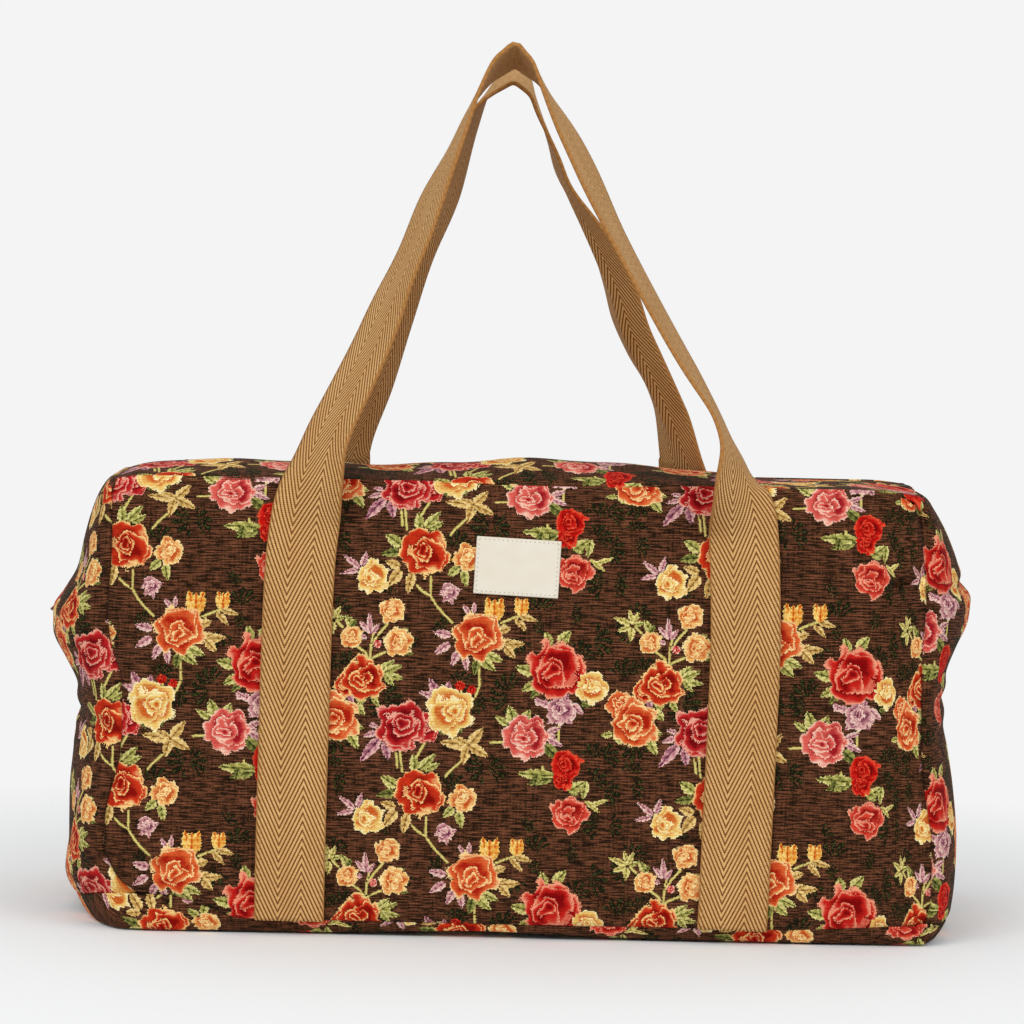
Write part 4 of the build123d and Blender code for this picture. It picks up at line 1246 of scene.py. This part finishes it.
class CARPETBAG_OT_top(Operator):
    """Makes the two soft rolls beside the zip and finishes the zip between them"""
    bl_idname = "carpet_bag.top"
    bl_label = "Top and zip"

    def execute(self, context):
        for side, node in ((-1, "top_strip_front"), (1, "top_strip_back")):
            piece = panel_piece(node, top_surface(side), (0, side * 60, 100), CLOTH * 0.9)
        for node in ("zip_tape_front", "zip_tape_back"):
            finish_node(node, "Zip tape")
        for node in ("zip_teeth_front", "zip_teeth_back", "zip_slider", "zip_puller",
                     "zip_top_stops", "zip_bottom_stop"):
            finish_node(node, "Zip brass")
        return {"FINISHED"}


def finish_node(node, material):
    """Gives a solid of the frame its finished material and leaves its shape alone."""
    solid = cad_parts[node]
    for slot in solid.material_slots:
        slot.material = bpy.data.materials[material]
    if not solid.material_slots:
        raise RuntimeError(node + " has no material slot")


class CARPETBAG_OT_bottom(Operator):
    """Makes the bottom, turned up to its seam all round and lifted a little under its middle"""
    bl_idname = "carpet_bag.bottom"
    bl_label = "Bottom"

    def execute(self, context):
        edge = 1 - np.array([0, 0.006, 0.012, 0.02, 0.03, 0.04, 0.055, 0.08, 0.11, 0.15])
        inner = np.linspace(0.82, -0.82, 60)
        lines = np.concatenate((edge, inner, -edge[::-1]))[::-1]
        columns = np.concatenate((-edge, np.linspace(-0.84, 0.84, 110), edge[::-1]))
        across, deep = np.meshgrid(columns, lines)
        foot = foot_seam(across * 238, np.abs(deep))
        half = face_depth(across * 212, foot, -1) - 1.9
        swing = np.sqrt(np.clip(1 - deep ** 2, 0, 1)) ** 0.9
        left, right = corner_of(-1, foot), corner_of(1, foot)
        left = left + (end_outline(-1, foot) - left) * swing
        right = right + (end_outline(1, foot) - right) * swing
        x = np.where(across < 0, left, right) * across
        y = half * deep
        out_x = np.clip((np.abs(across) - 0.96) / 0.04, 0, 1)
        out_y = np.clip((np.abs(deep) - 0.95) / 0.05, 0, 1)
        inset = np.minimum((1 - np.abs(across)) * 238, (1 - np.abs(deep)) * 112)
        lifted = 1.3 * (1 - ramp(10, 36, inset)) + 3.0 * (
            np.exp(-(((x + 15) / 60) ** 2)) * (1 - ramp(20, 90, inset)))
        z = np.maximum(foot * np.clip(np.hypot(out_x, out_y), 0, 1) ** 2, lifted)
        cloth = np.stack((x + 60.7, y - 8.6 + np.sign(y) * z), -1)
        piece = panel_piece("bottom_panel", (np.stack((x, y, z), -1), cloth), (0, 0, 60))
        return {"FINISHED"}


# Middles of the handles' legs and top folds, as (height, place along the bag), and how far each
# leg has turned out of the face, as (height, degrees)
FRONT_LEFT = (
    (9, -128.5), (60, -128), (120, -127.3), (175, -126.7), (215, -125.6), (240, -123.3),
    (257, -120.5), (273, -117), (292, -110.5), (311, -101.7), (331, -92.6), (347, -85.8),
    (371, -77), (401, -64.5), (430, -54.5), (460, -42), (487, -31.5),
)
FRONT_RIGHT = (
    (9, 126.4), (60, 127.5), (120, 129), (175, 130), (215, 129), (240, 127.6), (257, 125.5),
    (273, 122.8), (282, 121), (297, 114.8), (326, 98.3), (354, 82), (396, 58.6), (420, 46),
    (454, 29.8), (487, 12.4),
)
FRONT_FOLD = ((504, -21), (508.5, -15), (512.5, -9), (508, -3), (503, 3))
BACK_LEFT = (
    (9, -126), (120, -126), (200, -122), (240, -116), (268, -110.6), (308.7, -94.6),
    (348.9, -82), (388.8, -68.8), (428.2, -49.7), (467.1, -37.4), (486.7, -29.1),
)
BACK_RIGHT = (
    (9, 127), (120, 127), (200, 120), (240, 110), (264.3, 101.9), (292.4, 89.4),
    (312.3, 80.3), (332.1, 69.6), (351.8, 60.2), (371.5, 53.7), (391, 45.2), (410.4, 35.9),
    (439.3, 22.4), (458.5, 16), (487, 3.7),
)
BACK_FOLD = ((497, -19.5), (500.5, -14.5), (503.5, -9.5), (500.5, -4.5), (496, 0.5))
FRONT_TWIST_LEFT = (
    (238, 0), (257, 20), (273, 38), (280, 43), (316, 47), (352, 52), (389, 61), (426, 64),
    (462, 75), (493, 82), (512, 90),
)
FRONT_TWIST_RIGHT = (
    (236, 0), (254, 25), (263, 41), (273, 60), (282, 69), (299, 76), (312, 73), (335, 69),
    (407, 68), (443, 65), (461, 66), (493, 78), (512, 90),
)
BACK_TWIST_LEFT = ((236, 0), (262, 40), (300, 50), (389, 56), (440, 68), (480, 76), (503, 90))
BACK_TWIST_RIGHT = (
    (236, 0), (264, 47.5), (292, 56), (312, 59), (332, 54.5), (352, 54.5), (371, 57),
    (391, 63.4), (410, 70), (439, 77), (503, 90),
)


def over_roll(x, z, side):
    """How far out the bag stands at a height: its face, or above the top seam the front of
    the soft roll, whose parabola is turned round to give y for z."""
    level = seam_top(x, side)
    crest = np.maximum(crest_of(side, x), level + 1)
    face = face_depth(x, np.minimum(z, level), side)
    share = np.clip((z - level) / (crest - level), 0, 1)
    return np.where(z >= crest, 0.0, face - ROLL_HALF_WIDTH * (1 - np.sqrt(1 - share)))


def handle_surface(side, left, fold_points, right, twist_left, twist_right, creased=0.0):
    """A strip of webbing carried along a path. The path goes up the left leg, round a small
    fold and down the right leg, through the measured middles. It lies on the face below and
    leans to the other handle above. The strip's width turns from along the face to square to
    the leaning plane at the fold."""
    track = np.array(left + fold_points + right[::-1], float)
    apex = len(left) + len(fold_points) // 2
    chord = added_up(np.hypot(*np.diff(track, axis=0).T))
    fine = np.linspace(0, chord[-1], 2400)
    z, x = (smoothed(through(np.stack((chord, part), 1), fine), 22) for part in track.T)
    base = -HANDLE_START
    top = -(HANDLE_GAP + WEBBING_WIDTH / 2)
    y = base + (top - base) * np.clip((z - LEG_LEAVES) / HANDLE_RISE, 0, 1)
    turned = np.radians(np.where(fine < chord[apex], through(twist_left, z),
                                 through(twist_right, z)))
    wanted = -over_roll(x, z, side) - WEBBING_WIDTH / 2 * np.sin(turned) - 1.6
    moved = np.where(z < LEG_LEAVES, np.minimum(wanted - y, 0), 0)
    for leg in (fine < chord[apex], fine >= chord[apex]):
        rising = leg & (z >= LEG_LEAVES)
        level = moved[leg & (z < LEG_LEAVES)][-1 if leg[0] else 0]
        moved[rising] = level * (1 - ramp(LEG_LEAVES, LEG_FREE, z[rising]))
    y = smoothed(y + moved, 160)
    run = added_up(np.sqrt(np.diff(x) ** 2 + np.diff(y) ** 2 + np.diff(z) ** 2))
    even = np.linspace(0, run[-1], int(run[-1] / 2.4))
    x, y, z, turned = (np.interp(even, run, values) for values in (x, y, z, turned))
    turned = smoothed(turned, 8)
    middle = np.stack((x, y, z), -1)
    ahead = np.gradient(middle, axis=0)
    ahead /= np.linalg.norm(ahead, axis=1)[:, None]
    lean = math.atan2(top - base, HANDLE_RISE)
    free = ramp(225, LEG_LEAVES, z)[:, None]
    leaning = np.array([0, -math.cos(lean), math.sin(lean)])
    outward = leaning * free + np.array([0, -1, 0]) * (1 - free)
    inward = np.cross(ahead, outward)
    inward /= np.linalg.norm(inward, axis=1)[:, None]
    outward = np.cross(inward, ahead)
    across = np.linspace(-0.5, 0.5, 15) * WEBBING_WIDTH
    crease = math.radians(creased) * ramp(LEG_LEAVES, 300, z) * (1 - ramp(400, 450, z)) * (x > 0)
    bent = turned[:, None] + crease[:, None] * np.tanh(across / 3)[None, :]
    points = middle[:, None, :] + across[None, :, None] * (
        inward[:, None, :] * np.cos(bent)[..., None]
        + outward[:, None, :] * np.sin(bent)[..., None])
    limit = -over_roll(points[..., 0], points[..., 2], side) - LIE_GAP - WEBBING / 2
    points[..., 1] = np.minimum(points[..., 1], limit)
    points[..., 1] *= -side
    cloth = np.stack(np.broadcast_arrays(across[None, :], even[:, None]), -1)
    return points, cloth


class CARPETBAG_OT_handles(Operator):
    """Makes the two webbing handles"""
    bl_idname = "carpet_bag.handles"
    bl_label = "Handles"

    def execute(self, context):
        front = handle_surface(-1, FRONT_LEFT, FRONT_FOLD, FRONT_RIGHT,
                               FRONT_TWIST_LEFT, FRONT_TWIST_RIGHT)
        back = handle_surface(1, BACK_LEFT, BACK_FOLD, BACK_RIGHT,
                              BACK_TWIST_LEFT, BACK_TWIST_RIGHT, creased=22.0)
        for side, node, surface in ((-1, "front_handle", front), (1, "back_handle", back)):
            piece = grid_piece(node + "_webbing", *surface, (0, -60 * side, 200), "webbing", node,
                               bpy.data.materials["Herringbone webbing"])
            thicken(piece, WEBBING, 0)
        return {"FINISHED"}


class CARPETBAG_OT_label(Operator):
    """Makes the small bare label on the front"""
    bl_idname = "carpet_bag.label"
    bl_label = "Label"

    def execute(self, context):
        wide, high = LABEL_WIDTH / 2, LABEL_HEIGHT / 2
        a, b = np.meshgrid(np.linspace(-wide, wide, 60), np.linspace(-high, high, 42))
        slope = math.radians(-2.6)
        x = -1.3 + a * math.cos(slope) - b * math.sin(slope)
        z = 215.5 + a * math.sin(slope) + b * math.cos(slope)
        edge = np.minimum(wide - np.abs(a), high - np.abs(b))
        lift = 0.75 + 0.25 * (1 - np.exp(-edge / 2.5)) + 0.12 * np.sin(a / 5 + b / 7)
        y = -(face_depth(x, z, -1) + lift)
        piece = grid_piece("label_cotton", np.stack((x, y, z), -1), np.stack((a, b), -1),
                           (0, 0, 215), "label_cotton", "label",
                           bpy.data.materials["Label cotton"])
        thicken(piece, 0.6, 0)
        return {"FINISHED"}


class CARPETBAG_OT_stage(Operator):
    """Makes the floor, the lamps, the background and the camera"""
    bl_idname = "carpet_bag.stage"
    bl_label = "Stage"

    def execute(self, context):
        stage = context.scene.carpet_bag_stage
        scene = context.scene
        scene.view_settings.view_transform = "Standard"

        floor_mesh = bpy.data.meshes.new("floor")
        reach = 4.0
        floor_mesh.from_pydata([(-reach, -reach, 0), (reach, -reach, 0), (reach, reach, 0),
                                (-reach, reach, 0)], [], [(0, 1, 2, 3)])
        floor = bpy.data.objects.new("floor", floor_mesh)
        scene.collection.objects.link(floor)
        material, w, shader = new_material("Pale floor")
        pale_blue = (0.965, 0.99, 1.0)
        shader["Base Color"].default_value = (*(stage.floor * share for share in pale_blue), 1)
        shader["Roughness"].default_value = 0.9
        shader["Specular IOR Level"].default_value = 0.1
        at = w.place()
        away = w.vector("LENGTH", at, out="Value")
        w.feed(shader["Alpha"], w.between(away, 0.24, 0.64, 1.0, 0.0))
        floor_mesh.materials.append(material)

        world = bpy.data.worlds.new("Studio")
        scene.world = world
        world.use_nodes = True
        wires = Wiring(world.node_tree)
        back = world.node_tree.nodes["Background"]
        pale = wires.node("ShaderNodeBackground",
                          {0: (stage.backdrop, stage.backdrop, stage.backdrop, 1), 1: 1.0})
        back.inputs[0].default_value = (1, 1, 1, 1)
        back.inputs[1].default_value = stage.surround
        path = wires.node("ShaderNodeLightPath").outputs
        seen = wires.calc("MAXIMUM", path["Is Camera Ray"], wires.calc(
            "MAXIMUM", path["Is Glossy Ray"], path["Is Transmission Ray"]))
        either = wires.node("ShaderNodeMixShader", {0: seen, 1: back.outputs[0],
                                                    2: pale.outputs[0]})
        wires.feed(world.node_tree.nodes["World Output"].inputs[0], either.outputs[0])

        lamps = (
            ("key_lamp", stage.key, 1.3, (-1.1, -2.0, 1.7)),
            ("fill_lamp", stage.fill, 1.8, (1.7, -1.7, 1.6)),
            ("overhead_lamp", stage.overhead, 1.6, (0.0, 0.2, 2.2)),
        )
        for name, power, size, place in lamps:
            light = bpy.data.lights.new(name, "AREA")
            light.energy = power
            light.size = size
            lamp = bpy.data.objects.new(name, light)
            scene.collection.objects.link(lamp)
            lamp.location = place
            aim = Vector((0, 0, 0.18)) - Vector(place)
            lamp.rotation_euler = aim.to_track_quat("-Z", "Y").to_euler()

        lens = bpy.data.cameras.new("camera")
        lens.lens = stage.lens
        lens.sensor_width = 36.0
        lens.clip_end = 50.0
        camera = bpy.data.objects.new("camera", lens)
        scene.collection.objects.link(camera)
        place = Vector((-5.1, -2318.0, 380.0)) * MM
        target = Vector((-5.1, -118.0, 247.4)) * MM
        camera.location = place
        level = (target - place).to_track_quat("-Z", "Y").to_matrix()
        camera.rotation_euler = (level @ Matrix.Rotation(stage.roll, 3, "Z")).to_euler()
        scene.camera = camera
        return {"FINISHED"}


class CARPETBAG_PT_sidebar(Panel):
    """Lists the bag's settings and the operators that make its pieces"""
    bl_idname = "CARPETBAG_PT_sidebar"
    bl_label = "Carpet bag"
    bl_space_type = "VIEW_3D"
    bl_region_type = "UI"
    bl_category = "Carpet bag"

    def draw(self, context):
        for settings in (context.scene.carpet_bag_shape, context.scene.carpet_bag_print,
                         context.scene.carpet_bag_colours, context.scene.carpet_bag_stage):
            box = self.layout.box()
            for name in settings.__annotations__:
                box.prop(settings, name)
        for operator in OPERATORS:
            self.layout.operator(operator.bl_idname)


SETTINGS = (
    ("carpet_bag_shape", CarpetBagShape),
    ("carpet_bag_print", CarpetBagPrint),
    ("carpet_bag_colours", CarpetBagColours),
    ("carpet_bag_stage", CarpetBagStage),
)
OPERATORS = (
    CARPETBAG_OT_materials,
    CARPETBAG_OT_faces,
    CARPETBAG_OT_ends,
    CARPETBAG_OT_top,
    CARPETBAG_OT_bottom,
    CARPETBAG_OT_handles,
    CARPETBAG_OT_label,
    CARPETBAG_OT_stage,
)


def register():
    for name, settings in SETTINGS:
        bpy.utils.register_class(settings)
        setattr(bpy.types.Scene, name, PointerProperty(type=settings))
    for made in (*OPERATORS, CARPETBAG_PT_sidebar):
        bpy.utils.register_class(made)


def unregister():
    for made in (CARPETBAG_PT_sidebar, *reversed(OPERATORS)):
        bpy.utils.unregister_class(made)
    for name, settings in reversed(SETTINGS):
        delattr(bpy.types.Scene, name)
        bpy.utils.unregister_class(settings)


def main():
    register()
    bpy.ops.carpet_bag.materials()
    bpy.ops.carpet_bag.stage()
    bpy.ops.carpet_bag.faces()
    bpy.ops.carpet_bag.ends()
    bpy.ops.carpet_bag.top()
    bpy.ops.carpet_bag.bottom()
    bpy.ops.carpet_bag.handles()
    bpy.ops.carpet_bag.label()


if __name__ == "__main__":
    main()
